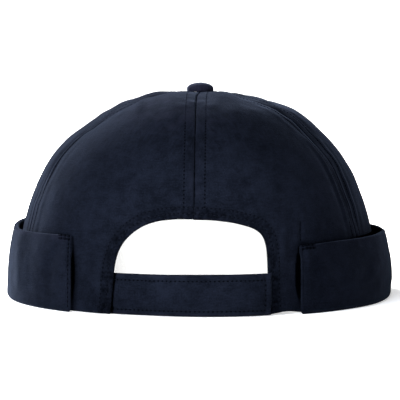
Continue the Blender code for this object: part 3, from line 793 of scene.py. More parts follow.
def crown_panel(index):
    """One panel: its grid on the crown, raised by the relief and backed by a smoother inner face."""
    back = index in (0, len(PANELS) - 1)
    azimuth, rise = back_gore(1 if index == 0 else -1) if back else plain_gore(index)
    base, normal = crown_layer(azimuth, rise)
    relief, wear, darkening = crown_relief(azimuth, rise, by_arch=back)
    round_it = np.radians(azimuth - azimuth.mean()) * level_radius(azimuth, rise)
    pattern = np.stack((round_it, climb_of(rise)), axis=-1)
    # The shade layer: the crown's darkening and the painted shade of the cuff and strap.
    shade = np.maximum(0.85 * darkening, cuff_shade(azimuth, base))
    walls = (relief, -CROWN_CLOTH + relief * smooth_step(*INNER_RELIEF_FROM, base[..., 2]))
    node = "crown_" + PANELS[index]
    cloth = (OUTER_CLOTH, CROWN_ROLL, pattern)
    cloth_shell(node + "_cloth", "navy_cotton", node, base, normal, *walls, *cloth, wear=wear, shade=shade)


# The cuff


def cuff_value(column, along):
    """The value of a named column at places along the cuff, eased from row to row."""
    spots, values = np.array(CUFF_ALONG), np.array(CUFF_ROWS[column])
    before = np.clip(np.searchsorted(spots, along) - 1, 0, len(spots) - 2)
    ease = smooth_step(spots[before], spots[before + 1], along)
    return values[before] * (1 - ease) + values[before + 1] * ease


def cuff_section(along, row):
    """The cuff's outer face, as its distance from the crown and its height. The rows go down the inner
    leg, round a fold that is half a superellipse, and up the outer leg to the top edge."""
    height = CUFF_HEIGHT * cuff_value("height", along)
    radius = CUFF_CLOTH + CUFF_FOLD_ROOM * cuff_value("fold", along) / 2
    leg = np.clip(row / CUFF_LEG_ROWS, 0.0, 1.0)
    turn = np.pi * np.clip((row - CUFF_LEG_ROWS) / CUFF_FOLD_ROWS, 0.0, 1.0)
    power = 2 / cuff_value("square", along)
    across = np.sign(np.cos(turn)) * np.abs(np.cos(turn)) ** power
    down = np.clip(np.sin(turn), 0.0, 1.0) ** power
    share = np.clip((row - CUFF_FOLDED) / (CUFF_GRID[1] - 1 - CUFF_FOLDED), 0.0, 1.0)
    share = share + CUFF_ROW_DRIFT * np.sin(np.pi * share) * share / np.pi
    foot = SEWN_GAP + 2 * radius
    belly = SEWN_GAP + CUFF_CLOTH + CUFF_BELLY_ROOM * cuff_value("belly", along)
    top = SEWN_GAP + CUFF_CLOTH + CUFF_TOP_ROOM * cuff_value("top", along)
    rising = np.sin(np.clip(share / CUFF_BELLY_AT, 0.0, 1.0) * np.pi / 2)
    closing = 1 - np.cos(np.clip((share - CUFF_BELLY_AT) / (1 - CUFF_BELLY_AT), 0.0, 1.0) * np.pi / 2)
    stretches = (row <= CUFF_LEG_ROWS, row <= CUFF_FOLDED, share <= CUFF_BELLY_AT)
    stands = (SEWN_GAP + 0.0 * row, SEWN_GAP + radius - radius * across, foot + (belly - foot) * rising)
    levels = (CUFF_INNER_LEG + leg * (radius - CUFF_INNER_LEG), radius - radius * down)
    stand = np.select(stretches, stands, belly + (top - belly) * closing)
    return stand, np.select(stretches[:2], levels, radius + share * (height - radius)), share


def cuff_end(side, stand, height):
    """The azimuth of one end of the cuff, where it stands this far off the crown at this height. The end
    lies in an upright plane, with the inner leg's end set back from it."""
    x = CUFF_RIGHT if side > 0 else CUFF_LEFT
    x = x + side * CUFF_LEG_SETBACK * (1.0 - smooth_step(0.0, CUFF_CLOTH, stand))
    reach = CROWN_HALF_WIDTH * plan_share(rise_at_height(height)) + stand
    return np.degrees(np.arcsin(x / reach))


def cuff_span(stand, height):
    """The azimuths from the cuff's right end round the front to its left end."""
    return cuff_end(1, stand, height), 360.0 + cuff_end(-1, stand, height)


CUFF_REACH = (CROWN_HALF_WIDTH + CROWN_HALF_DEPTH) / 2 + CUFF_CLOTH  # of one radian, on average


def cuff_share(length):
    """This length as a share of the cuff's whole run."""
    start, end = cuff_span(0.0, 0.0)
    return np.degrees(np.asarray(length) / CUFF_REACH) / (end - start)


def cuff_place(across, row):
    """Points of the cuff's outer face, at a share of its run from its right end, with how far each stands
    off the crown, its share of the outer leg, its azimuth and its distance from the nearer end."""
    stand, level, share = cuff_section(1.0 - across, row)
    start, end = cuff_span(stand, level)
    azimuth = start + across * (end - start)
    wall = crown_point(azimuth, rise_at_height(level))
    wall[..., 2] = level
    base = wall + outward(azimuth) * stand[..., None]
    base[..., 2] += 0.5 * MM * share * soft_noise(base * (1.0, 1.0, 0.0), 21 * MM, 24)
    return base, stand, share, azimuth, np.radians(np.minimum(azimuth - start, end - azimuth)) * CUFF_REACH


def cuff_relief(base, share, azimuth, from_end):
    """Broad waves, small unevenness, a drawn-in line of stitches at each end and the named folds."""
    relief = hills(base * (1.0, 1.0, 0.55), (0.75 * MM, 30 * MM, 21))
    relief += hills(base * (1.0, 1.0, 0.8), (0.34 * MM, 12 * MM, 22)) + hills(base, (0.10 * MM, 5 * MM, 23))
    relief *= smooth_step(0.0, 9.0 * MM, from_end) * 0.75 + 0.25
    relief -= 0.30 * MM * bell(from_end - CUFF_END_ROW, 0.7 * MM)
    for fold in CUFF_FOLDS:
        aside = np.radians(turn_from(azimuth, fold.place)) * CUFF_REACH
        relief -= fold_depth(fold, aside, base[..., 2] - fold.height)
    return relief * smooth_step(0.0, 0.25, share)


def cuff_mesh():
    """The cuff's cloth, with its inner leg sewn close against the crown and its top edge turned in."""
    across, row = np.meshgrid(crowded(CUFF_GRID[0], 0.80), np.arange(CUFF_GRID[1], dtype=float))
    base, stand, share, azimuth, from_end = cuff_place(across, row)
    normal = unit(np.cross(np.gradient(base, axis=1), np.gradient(base, axis=0)))
    sewn = smooth_step(CUFF_LEG_ROWS + 3.0, CUFF_LEG_ROWS - 1.0, row)
    relief = cuff_relief(base, share, azimuth, from_end) + SEWN_LEG * sewn
    hem = smooth_step(CUFF_HEIGHT - CUFF_HEM_DEPTH, CUFF_HEIGHT - 0.4 * CUFF_HEM_DEPTH, base[..., 2])
    wall = CUFF_CLOTH + (CUFF_HEM - CUFF_CLOTH) * hem * smooth_step(0.3, 0.7, share)
    wall = np.minimum(wall, np.maximum(CUFF_CLOTH, stand - SEWN_GAP))
    # Wear along the turned top edge, with a painted highlight where the rolled edge catches the light.
    wear = 0.6 * smooth_step(CUFF_HEIGHT - 2.6 * MM, CUFF_HEIGHT, base[..., 2])
    # Painted shade along the drawn-in row of stitches inside the left end.
    drawn = 0.8 * bell(from_end - CUFF_END_ROW, 0.45 * MM) * smooth_step(0.1, 0.3, share)
    # Painted shade on the right outer side, away from the key light.
    shade_away_from_light = 0.42 * bell(azimuth - 80.0, 16.0) * smooth_step(0.0, 0.2, share)
    shade = (np.where(azimuth > 180.0, drawn, shade_away_from_light), side_depth(azimuth))
    cloth = (relief, relief - wall, OUTER_CLOTH, CUFF_ROLL)
    cloth_shell("cuff_cloth", "navy_cotton", "cuff", base, normal, *cloth, wear=wear, shade=shade)


# Strap, bands and button


def strap_relief(x, height):
    """The strap's outer face: drawn in along its rows of stitches, pillowed between them and rolled at
    its top and bottom edges."""
    pucker = bpy.context.scene.hat_cloth.pucker_depth
    rows = (STRAP_HEIGHT - height - STRAP_TOP_ROW, height - STRAP_LOW_ROW, STRAP_END - x - STRAP_END_ROW)
    relief = 0.30 * MM * smooth_step(0.0, 3.4 * MM, np.minimum.reduce(rows))
    for far in rows:
        relief = relief - 0.42 * MM * bell(far, 0.75 * MM)
    spots = np.stack((x, np.zeros_like(x), height), axis=-1)
    near = bell(rows[0], 2.4 * MM) + bell(rows[1], 2.0 * MM) + 0.6 * bell(rows[2], 2.0 * MM)
    relief += 1.1 * pucker * soft_noise(spots * (1.0, 1.0, 0.35), 4.6 * MM, 31) * near
    return relief + hills(spots, (0.22 * MM, 15 * MM, 32), (0.08 * MM, 6 * MM, 33))


def level_strip(name, slot, node, finishes, x_from, x_to, inset, behind, cloth, relief=None):
    """A strip of cloth on edge along the back of the hat, from one x to another, inset so far from the
    strap's edges and set so far behind its face."""
    across, up = crowded_grid(STRAP_GRID if relief else TAB_GRID, 0.7, 0.7)
    x, height = x_from + across * (x_to - x_from), inset + up * (STRAP_HEIGHT - 2 * inset)
    base, normal = crown_layer(*at_back(x, height), strap_proud(x) - behind)
    outer = relief(x, height) if relief else np.zeros_like(x)
    wear = 0.8 * bell(np.minimum(height - inset, STRAP_HEIGHT - inset - height), 1.2 * MM)
    # Painted shadow of the crown's left edge, which lies over the strap.
    shade = 1.6 * smooth_step(1.2 * MM, 0.3 * MM, x - left_edge_x(height))
    walls = (outer, outer * 0.3 - cloth)
    cloth_shell(name, slot, node, base, normal, *walls, finishes, cloth / 2, wear=wear, shade=shade)


def strap_pieces():
    """The outer strap, the tab under it and the grip pad that holds the two together."""
    outside = ("brushed_navy", "brushed_navy", "navy_in_shade")
    span = (STRAP_START, STRAP_END)
    level_strip("strap_cloth", "navy_cotton", "strap", outside, *span, 0.0, 0.0, STRAP_CLOTH, strap_relief)
    span = (RIGHT_FOOT - UNDER_TAB_REACH, RIGHT_FOOT + UNDER_TAB_TUCK)
    depths = (UNDER_TAB_INSET, STRAP_CLOTH + GRIP_PAD_THICKNESS + 2 * SEWN_GAP, UNDER_TAB_CLOTH)
    level_strip("under_tab_cloth", "navy_reverse", "under_tab", ("navy_wrong_side",), *span, *depths)
    end = RIGHT_FOOT - GRIP_PAD_SETBACK - SEWN_GAP
    span = (end - GRIP_PAD_LENGTH, end)
    depths = (GRIP_PAD_BORDER, STRAP_CLOTH + SEWN_GAP, GRIP_PAD_THICKNESS)
    level_strip("grip_pad_pile", "grip_pile", "grip_pad", ("grip_loops",), *span, *depths)


def sweatband_span():
    """The azimuths from the band's end beside the right foot round the front to its other end."""
    right = RIGHT_FOOT + max(FACING_WIDTH, UNDER_TAB_TUCK) + SWEATBAND_SETBACK
    left = LEFT_FOOT - max(FACING_WIDTH, STRAP_TUCK) - SWEATBAND_SETBACK
    return float(at_back(right, 0.0)[0]), 360.0 + float(at_back(left, 0.0)[0])


def under_crown(azimuth, rise):
    """A grid that lies against the inside of the crown, with its normals."""
    return crown_layer(azimuth, rise, -CROWN_CLOTH - SEWN_GAP)


def sweatband_inside(base):
    """How far the band's uneven inner face lies from its outer one."""
    return SWEATBAND_CLOTH + 0.25 * MM * (1 + soft_noise(base, 14 * MM, 41))


def sweatband_mesh():
    """The band inside the hem, from one side of the opening round the front to the other."""
    start, end = sweatband_span()
    across, up = crowded_grid(BAND_GRID, 0.6, 0.6)
    base, normal = under_crown(start + across * (end - start), rise_at_height(up * SWEATBAND_HEIGHT))
    cloth = (np.zeros_like(up), -sweatband_inside(base), ("white_band_cotton",), 0.5 * MM)
    cloth_shell("sweatband_cloth", "white_cotton", "sweatband", base, normal, *cloth)


def facing_mesh():
    """The tape that is turned to the inside of the arch, from the strap's one end to its other."""
    across, up = crowded_grid(ARCH_GRID, 0.4, 0.6)
    along = across * 2 - 1
    grow = FACING_SETBACK + up * (FACING_WIDTH - FACING_SETBACK)
    halves = [
        arch_point(side, np.maximum(0.0, side * along) * strap_top_along(side), grow) for side in (-1, 1)
    ]
    base, normal = under_crown(*at_back(*np.where(along < 0, *halves)))
    rough = 0.12 * MM * (1 + soft_noise(base, 5 * MM, 42))
    cloth = (np.zeros_like(up), -rough - FACING_CLOTH, ("navy_wrong_side",), 0.4 * MM)
    cloth_shell("opening_facing_cloth", "navy_reverse", "opening_facing", base, normal, *cloth)


def button_profile():
    """Half the button's outline from near its top: a superellipse dome, a rim that tucks in under it, the
    post and the washer inside the crown. Returns it with the number of points on the cloth."""
    crown_top = float(crown_point(np.array(0.0), np.array(1.0))[2])
    seat = crown_top + SEWN_GAP
    under = crown_top - CROWN_CLOTH - SEWN_GAP
    power = 2 / BUTTON_ROUNDNESS
    turn = np.linspace(0.0, np.pi / 2, 26)
    out = BUTTON_RADIUS * np.sin(turn) ** power
    level = seat + BUTTON_TUCK + (BUTTON_HEIGHT - BUTTON_TUCK) * np.clip(np.cos(turn), 0, 1) ** power
    turn = np.linspace(0.0, np.pi / 2, 8)[1:]
    tuck_out = BUTTON_RADIUS - BUTTON_TUCK * (1 - np.cos(turn)) + BUTTON_LOFT
    tuck_level = seat + BUTTON_TUCK * (1 - np.sin(turn))
    out = out + BUTTON_LOFT * np.clip(out / BUTTON_RADIUS, 0, 1)
    level = level + BUTTON_LOFT * np.linspace(1.0, 0.0, len(level))
    post = (BUTTON_POST_RADIUS, BUTTON_POST_RADIUS, BUTTON_WASHER_RADIUS, BUTTON_WASHER_RADIUS, 0.0)
    low = under - BUTTON_WASHER_THICKNESS
    out = np.concatenate((out, tuck_out, post))
    return out, np.concatenate((level, tuck_level, (seat, under, under, low, low))), len(out) - len(post)


def button_mesh():
    """The covered button, turned from its profile. Its cloth is drawn in small pleats towards the rim, a
    wave round the turn that grows down the dome. The two ends are fans round one point."""
    out, level, clothed = button_profile()
    turn = np.linspace(0.0, 2 * np.pi, BUTTON_TURNS, endpoint=False)
    step = np.arange(len(out))[:, None]
    spots = np.stack(np.broadcast_arrays(np.cos(turn), np.sin(turn), step / 9.0), axis=-1)
    drawn = smooth_step(0.3 * clothed, 0.75 * clothed, step) * (step < clothed)
    wave = np.cos(BUTTON_PLEATS * turn + 1.6 * np.sin(2 * turn)) + 0.8 * soft_noise(spots, 0.45, 51)
    radius = out[:, None] * (1 + 0.014 * wave * drawn)
    sag = 0.10 * MM * soft_noise(spots, 0.9, 52) * (step < clothed) * smooth_step(0, 4, step)
    rings = (radius * np.sin(turn), -radius * np.cos(turn), level[:, None] + sag)
    rings = TOP_MIDDLE + np.stack(rings, axis=-1)
    points = np.concatenate((rings[0, :1], rings[1:-1].reshape(-1, 3), rings[-1, :1]))
    index = 1 + np.arange((len(out) - 2) * BUTTON_TURNS).reshape(-1, BUTTON_TURNS)
    top = np.stack((np.zeros_like(index[0]), index[0], np.roll(index[0], -1)), axis=-1)
    low = np.stack((np.full_like(index[0], len(points) - 1), np.roll(index[-1], -1), index[-1]), axis=-1)
    metal = np.repeat(np.arange(len(index) - 1) >= clothed - 2, BUTTON_TURNS)
    face_finish = np.concatenate((metal, np.zeros(BUTTON_TURNS), np.ones(BUTTON_TURNS)))
    faces, finishes = [ring_faces(index), top, low], ("button_cover_cotton", "rivet_lacquer")
    pattern = points[:, :2] - TOP_MIDDLE[:2]
    obj = put_mesh("button_cover", points, faces, finishes, pattern, face_finish)
    stand_for(obj, "button_cloth", "button")


# Stitches


def thread_shape():
    """One stitch as a small bent tube of six sides, closed at both ends: its middle line rises in the
    middle and dives into the cloth at its two ends. The axes are along, aside and up, from -1 to 1."""
    along = np.array((-1.0, -0.72, 0.0, 0.72, 1.0))[:, None]
    girth = np.array((0.45, 0.95, 1.0, 0.95, 0.45))[:, None]
    turn = np.linspace(0.0, 2 * np.pi, 6, endpoint=False)
    ring = (along, girth * np.cos(turn), girth * np.sin(turn) - 1.5 * along**4)
    points = np.stack(np.broadcast_arrays(*ring), axis=-1).reshape(-1, 3)
    caps = np.array(((3, 2, 1, 0), (5, 4, 3, 0), (24, 25, 26, 27), (24, 27, 28, 29)))
    return points, np.concatenate((ring_faces(np.arange(30).reshape(5, 6)), caps))


def hole_shape():
    """A dark low block, rounded by its shading, put in a needle's dimple as painted shade."""
    corners = np.array(list(product((-1.0, 1.0), repeat=3)))
    faces = ((0, 1, 3, 2), (4, 6, 7, 5), (0, 4, 5, 1), (2, 3, 7, 6), (0, 2, 6, 4), (1, 5, 7, 3))
    return corners, np.array(faces)


def along_path(points, normals, pitch, start):
    """Even places along a path at this pitch: their points, directions and normals."""
    lengths = lengths_along(points)
    count = max(1, int(lengths[-1] / pitch))
    spots = (np.arange(count) + start) * lengths[-1] / count

    def read(values):
        return np.stack([np.interp(spots, lengths, values[:, axis]) for axis in range(3)], axis=-1)

    return read(points), unit(read(unit(np.gradient(points, axis=0)))), unit(read(normals))


def repeat_shape(shape, points, headings, normals, scale):
    """The small shape set at each point, turned to its heading and normal, as whole arrays."""
    local, faces = shape
    aside = unit(np.cross(normals, headings))
    frame_axes = np.stack((headings, aside, unit(np.cross(headings, aside))), axis=1)
    placed = points[:, None, :] + (local * scale) @ frame_axes
    offsets = np.arange(len(points))[:, None, None] * len(local)
    return placed.reshape(-1, 3), (faces[None] + offsets).reshape(-1, 4)


def sew(name, slot, rows, thread, shade):
    """All the stitches of these rows as one piece, with a dark block of painted shade in the needle's dimple
    between each two. A row is a path of points with normals."""
    cloth = bpy.context.scene.hat_cloth
    half, thick = cloth.stitch_length / 2, cloth.thread_width / 2
    thread_size = (half, thick, 0.85 * thick)
    hole_size = (0.62 * (cloth.stitch_pitch / 2 - half) + 0.24 * MM, 0.34 * MM, 0.09 * MM)
    parts = []
    for points, normals in rows:
        spots, headings, ups = along_path(points, normals, cloth.stitch_pitch, 0.5)
        slant = unit(headings + THREAD_SLANT * np.cross(ups, headings))
        parts.append(repeat_shape(thread_shape(), spots, slant, ups, thread_size))
        spots, headings, ups = along_path(points, normals, cloth.stitch_pitch, 0.0)
        bare = ups[:, 2] < DIMPLE_SHADE_UP_TO
        sunk = spots - ups * 0.04 * MM
        parts.append(repeat_shape(hole_shape(), sunk[bare], headings[bare], ups[bare], hole_size))
    offsets = np.cumsum([0] + [len(points) for points, _ in parts[:-1]])
    faces = np.concatenate([part[1] + offset for part, offset in zip(parts, offsets)])
    face_finish = np.concatenate([np.full(len(part[1]), number % 2) for number, part in enumerate(parts)])
    points = np.concatenate([part[0] for part in parts])
    stand_for(put_mesh(name, points, [faces], (thread, shade), points[:, :2], face_finish), slot)


def on_crown(azimuth, rise, by_arch=False):
    """A row of stitches on the crown's relief."""
    base, normal = crown_layer(azimuth, rise)
    return base + normal * (crown_relief(azimuth, rise, by_arch)[0] + THREAD_LIFT)[:, None], normal


def seam_rows():
    """Two rows beside each seam, from the hem or the opening up to the button."""
    top = float(rise_at_plan((BUTTON_RADIUS - 0.5 * MM) / CROWN_HALF_WIDTH))
    arch_top = float(rise_at_height(OPENING_HEIGHT + ARCH_ROWS[1]))
    for lane, seam in enumerate(SEAMS):
        low = arch_top if lane == 0 else float(rise_of(1.5 * MM))
        rise = rise_of(np.linspace(climb_of(low), climb_of(top), 220))
        radius = level_radius(seam, rise)
        for side in (-1, 1):
            azimuth = seam + side * np.degrees(seam_row_far(radius) / radius)
            yield on_crown(azimuth, rise, by_arch=lane == 0)


def arch_rows():
    """Two rows beside the opening's edge, from foot to foot."""
    for far in ARCH_ROWS:
        x, height = arch_edge(far)
        kept = height > 1.2 * MM
        yield on_crown(*at_back(x[kept], height[kept]), by_arch=True)


def strap_rows():
    """Along the strap's top, its end and its lower edge, from where it comes out of the crown."""
    top, low, last = STRAP_HEIGHT - STRAP_TOP_ROW, STRAP_LOW_ROW, STRAP_END - STRAP_END_ROW
    x_from = LEFT_FOOT + 1.2 * MM
    corners = ((x_from, top, 160), (last, top, 40), (last, low, 160), (x_from, low, 0))
    for (x, height, count), (next_x, next_height, _) in zip(corners, corners[1:]):
        x, height = np.linspace(x, next_x, count), np.linspace(height, next_height, count)
        yield crown_layer(*at_back(x, height), strap_proud(x) + strap_relief(x, height) + THREAD_LIFT)


def cuff_row_at(level, along):
    """The row of the cuff's section, as a part row, where its outer leg reaches this height."""
    rows = np.linspace(CUFF_FOLDED, CUFF_GRID[1] - 1, 200)
    return np.interp(level, cuff_section(np.full(200, along), rows)[1], rows)


def on_cuff(across, row):
    """A row of stitches on the cuff's outer face, with normals from its neighbours."""
    step = 0.001
    base, _, share, azimuth, from_end = cuff_place(across, row)
    ahead, behind = cuff_place(across + step, row)[0], cuff_place(across - step, row)[0]
    above = cuff_place(across, np.minimum(row + 1.0, CUFF_GRID[1] - 1.0))[0]
    normal = unit(np.cross(ahead - behind, above - cuff_place(across, row - 1.0)[0]))
    return base + normal * (cuff_relief(base, share, azimuth, from_end) + THREAD_LIFT)[:, None], normal


def cuff_end_row():
    """A row just inside the cuff's left end, from the fold up to the top edge."""
    row = np.linspace(CUFF_FOLDED + 2.0, CUFF_GRID[1] - 3.0, 60)
    yield on_cuff(np.full(60, 1.0 - cuff_share(CUFF_END_ROW)), row)


def tack_rows():
    """The short rows that tack the cuff's top corners to the crown, and a short upright line of dark stitches
    above its right corner, painted shade along the crease there."""
    run = cuff_share(np.linspace(1.0 * MM, TACK_LENGTH, 24))
    for across in (run, 1.0 - run):
        along = 1.0 - round(float(across[0]))
        top = CUFF_HEIGHT * float(cuff_value("height", np.array([along]))[0])
        for low in TACK_ROWS:
            yield on_cuff(across, np.full(24, cuff_row_at(top - low, along)))
    # Painted shade: a line of dark stitches along the crease above the right corner.
    yield on_crown(*at_back(CREASE_SHADE_X, np.linspace(CREASE_SHADE_FOOT, CREASE_SHADE_TOP, 30)), by_arch=True)


def sweatband_row():
    """One row along the top edge of the band inside, on the face towards the head."""
    start, end = sweatband_span()
    rise = np.full(400, float(rise_at_height(SWEATBAND_HEIGHT - SWEATBAND_ROW)))
    base, normal = under_crown(np.linspace(start + 0.8, end - 0.8, 400), rise)
    yield base - normal * (sweatband_inside(base) + THREAD_LIFT)[:, None], -normal


# Finishes


class Finish:
    """A material in the making, with short ways to add nodes. Its constant values are set on the shader's
    own sockets."""

    def __init__(self, name, constants):
        self.made = bpy.data.materials.new(name)
        self.made.use_nodes = True
        self.tree = self.made.node_tree
        self.shader = self.tree.nodes["Principled BSDF"]
        for key, value in constants.items():
            self.shader.inputs[key].default_value = value

    def join(self, socket, value):
        """Sets the socket to a plain value, or joins another node's socket to it."""
        if isinstance(value, bpy.types.NodeSocket):
            self.tree.links.new(value, socket)
        else:
            socket.default_value = value

    def add(self, kind, values=None, **settings):
        """A node with its settings and its sockets' values."""
        node = self.tree.nodes.new("ShaderNode" + kind)
        for key, value in settings.items():
            setattr(node, key, value)
        for key, value in (values or {}).items():
            self.join(node.inputs[key], value)
        return node

    def place(self):
        """The place in the hat, in metres."""
        return self.add("TexCoord").outputs["Object"]

    def pattern(self):
        """The place on the flat cloth, in metres."""
        return self.add("UVMap", uv_map="pattern").outputs["UV"]

    def layer(self, name):
        """A value that the mesh holds at every point."""
        return self.add("Attribute", attribute_name=name).outputs["Fac"]

    def noise(self, vector, scale, stretch=(1.0, 1.0, 1.0), detail=3.0, roughness=0.55):
        """A noise pattern at so many cells to the metre, drawn out by the stretch."""
        spread = self.add("Mapping", {"Vector": vector, "Scale": [scale * share for share in stretch]})
        values = {"Vector": spread.outputs["Vector"], "Scale": 1.0, "Detail": detail, "Roughness": roughness}
        return self.add("TexNoise", values, normalize=True).outputs["Fac"]

    def math(self, operation, *values):
        """The result of one sum on up to three values."""
        node = self.add("Math", operation=operation)
        for socket, value in zip(node.inputs, (*values, 0.0, 0.0)):
            self.join(socket, value)
        return node.outputs[0]

    def weighted(self, first, *others):
        """The sum of values times their weights."""
        total = self.math("MULTIPLY", *first)
        for value, weight in others:
            total = self.math("MULTIPLY_ADD", value, weight, total)
        return total

    def between(self, value, low, high):
        """The value's share of the way from low to high, held between 0 and 1."""
        values = {"Value": value, "From Min": low, "From Max": high}
        return self.add("MapRange", values, clamp=True).outputs["Result"]

    def mix(self, *values):
        """One colour turning to another with the factor, which comes first."""
        node = self.add("Mix", data_type="RGBA")
        for socket, value in zip([s for s in node.inputs if s.enabled], values):
            self.join(socket, value)
        return next(s for s in node.outputs if s.enabled)

    def ribs(self, vector, pitch, slant=1.0):
        """Fine diagonal ribs: a wave across the cloth, its phase shaken by noise."""
        parts = self.add("SeparateXYZ", {"Vector": vector}).outputs
        across = self.math("MULTIPLY", parts["X"], 2 * math.pi / pitch)
        upward = self.math("MULTIPLY", parts["Y"], slant * 2 * math.pi / pitch)
        shaken = self.noise(vector, 900.0, detail=1.0)
        phase = self.math("MULTIPLY_ADD", shaken, 3.0, self.math("ADD", across, upward))
        return self.math("MULTIPLY_ADD", self.math("SINE", phase), 0.5, 0.5)

    def done(self, colour, height=None, strength=0.5, distance=MM, invert=False):
        """Joins the colour to the shader and, where there is one, the height as a bump."""
        self.join(self.shader.inputs["Base Color"], colour)
        if height is not None:
            values = {"Height": height, "Strength": strength, "Distance": distance}
            bump = self.add("Bump", values, invert=invert)
            self.join(self.shader.inputs["Normal"], bump.outputs["Normal"])
        return self.made


def shade_of(colour, factor):
    """The colour times a factor, with no transparency."""
    return (colour[0] * factor, colour[1] * factor, colour[2] * factor, 1.0)


def brushed_cotton(name, colour, contrast, sheen, wear_colour=None):
    """Brushed cotton twill: clouded where the dye took unevenly, streaked along the weft, with a short pale
    nap, and rubbed lighter along sewn edges, where the same layer also paints highlights. The shade layer
    darkens it as painted shade: up to 1 it is mottled, and beyond 1 it is even."""
    nap_sheen = {"Sheen Weight": sheen, "Sheen Roughness": 0.38, "Sheen Tint": (0.55, 0.68, 1.0, 1.0)}
    cloth = Finish(name, {"Roughness": 0.95, "Specular IOR Level": 0.0, **nap_sheen})
    pattern, place = cloth.pattern(), cloth.place()
    clouds = cloth.noise(place, 42.0, detail=4.0, roughness=0.62)
    smudges = cloth.noise(place, 150.0, (1.0, 1.0, 1.25), roughness=0.6)
    streaks = cloth.noise(pattern, 1.0, (260.0, 1300.0, 1.0), roughness=0.6)
    rays = cloth.noise(pattern, 1.0, (800.0, 150.0, 1.0), detail=2.0, roughness=0.6)
    nap = cloth.noise(pattern, 1500.0, roughness=0.65)
    tone = cloth.weighted((clouds, 0.6), (smudges, 0.55), (streaks, 0.45), (nap, 1.0))
    height = cloth.add("SeparateXYZ", {"Vector": place}).outputs["Z"]
    level = cloth.math("MULTIPLY_ADD", cloth.between(height, 0.070, 0.098), 0.9, 0.15)
    tone = cloth.math("MULTIPLY_ADD", cloth.math("SUBTRACT", rays, 0.5), level, tone)
    tone = cloth.between(tone, 1.10, 1.50)
    body = cloth.mix(tone, shade_of(colour, 1.0 - contrast), shade_of(colour, 1.0 + contrast))
    # Lighter where worn, and where a painted highlight lies.
    rubbed_and_highlight = cloth.math("MULTIPLY", cloth.layer("wear"), cloth.between(smudges, 0.35, 0.7))
    body = cloth.mix(rubbed_and_highlight, body, wear_colour or shade_of(colour, 1.25))
    # Painted shade from the shade layer.
    shade = cloth.layer("shade")
    blots = cloth.between(cloth.noise(place, 430.0, roughness=0.65), 0.28, 0.62)
    deep = cloth.math("MAXIMUM", cloth.math("SUBTRACT", shade, 1.0))
    body = cloth.mix(cloth.math("MULTIPLY_ADD", shade, blots, deep), body, shade_of(colour, 0.06))
    ribs = cloth.ribs(pattern, 0.0011)
    height = cloth.weighted((ribs, 0.08), (nap, 1.1), (streaks, 0.8), (smudges, 1.4))
    return cloth.done(body, height, strength=0.55, distance=0.00025)


def white_band_cotton(name, colour):
    """Plain white cotton, with a fine square weave and soft grey clouds."""
    cloth = Finish(name, {"Roughness": 0.9, "Specular IOR Level": 0.25})
    pattern = cloth.pattern()
    clouds = cloth.noise(pattern, 90.0)
    weave = (cloth.ribs(pattern, 0.0012), cloth.ribs(pattern, 0.0012, -1.0))
    body = cloth.mix(clouds, shade_of(colour, 0.97), shade_of(colour, 1.0))
    return cloth.done(body, cloth.weighted(weave, (clouds, 1.5)), strength=0.4, distance=0.0002)


def grip_loops(name, colour):
    """The pad that grips: a dense field of tiny loops."""
    pad = Finish(name, {"Roughness": 0.8, "Sheen Weight": 0.3})
    spread = pad.add("Mapping", {"Vector": pad.pattern(), "Scale": (1400.0, 1400.0, 1.0)}).outputs["Vector"]
    spot = pad.add("TexVoronoi", {"Vector": spread, "Scale": 1.0}).outputs["Distance"]
    body = pad.mix(spot, shade_of(colour, 1.6), shade_of(colour, 0.4))
    return pad.done(body, spot, strength=0.8, distance=0.0004, invert=True)


def sewing_thread(name, colour, roughness):
    """Twisted thread, or the shade in a needle's dimple: a small change of tone from place to place."""
    thread = Finish(name, {"Roughness": roughness, "Specular IOR Level": 0.0})
    tone = thread.noise(thread.place(), 1500.0, detail=1.0)
    return thread.done(thread.mix(tone, shade_of(colour, 0.7), shade_of(colour, 1.3)))


def painted_metal(name):
    """The button's rivet and washer: dull dark lacquer with small scuffs."""
    metal = Finish(name, {"Metallic": 0.7})
    scuffs = metal.noise(metal.place(), 700.0, detail=4.0)
    metal.join(metal.shader.inputs["Roughness"], metal.between(scuffs, -0.2, 1.4))
    return metal.done(metal.mix(scuffs, (0.02, 0.022, 0.03, 1), (0.06, 0.06, 0.07, 1)))


def floor_paper(name, tone):
    """Matt white paper that gives a little light of its own."""
    glow = {"Emission Strength": 0.5, "Emission Color": (1.0, 1.0, 1.0, 1.0)}
    paper = Finish(name, {"Roughness": 1.0, "Specular IOR Level": 0.0, **glow})
    grain = paper.noise(paper.place(), 300.0, detail=1.0)
    return paper.done(paper.mix(grain, shade_of((1, 1, 1), tone), (1, 1, 1, 1)))


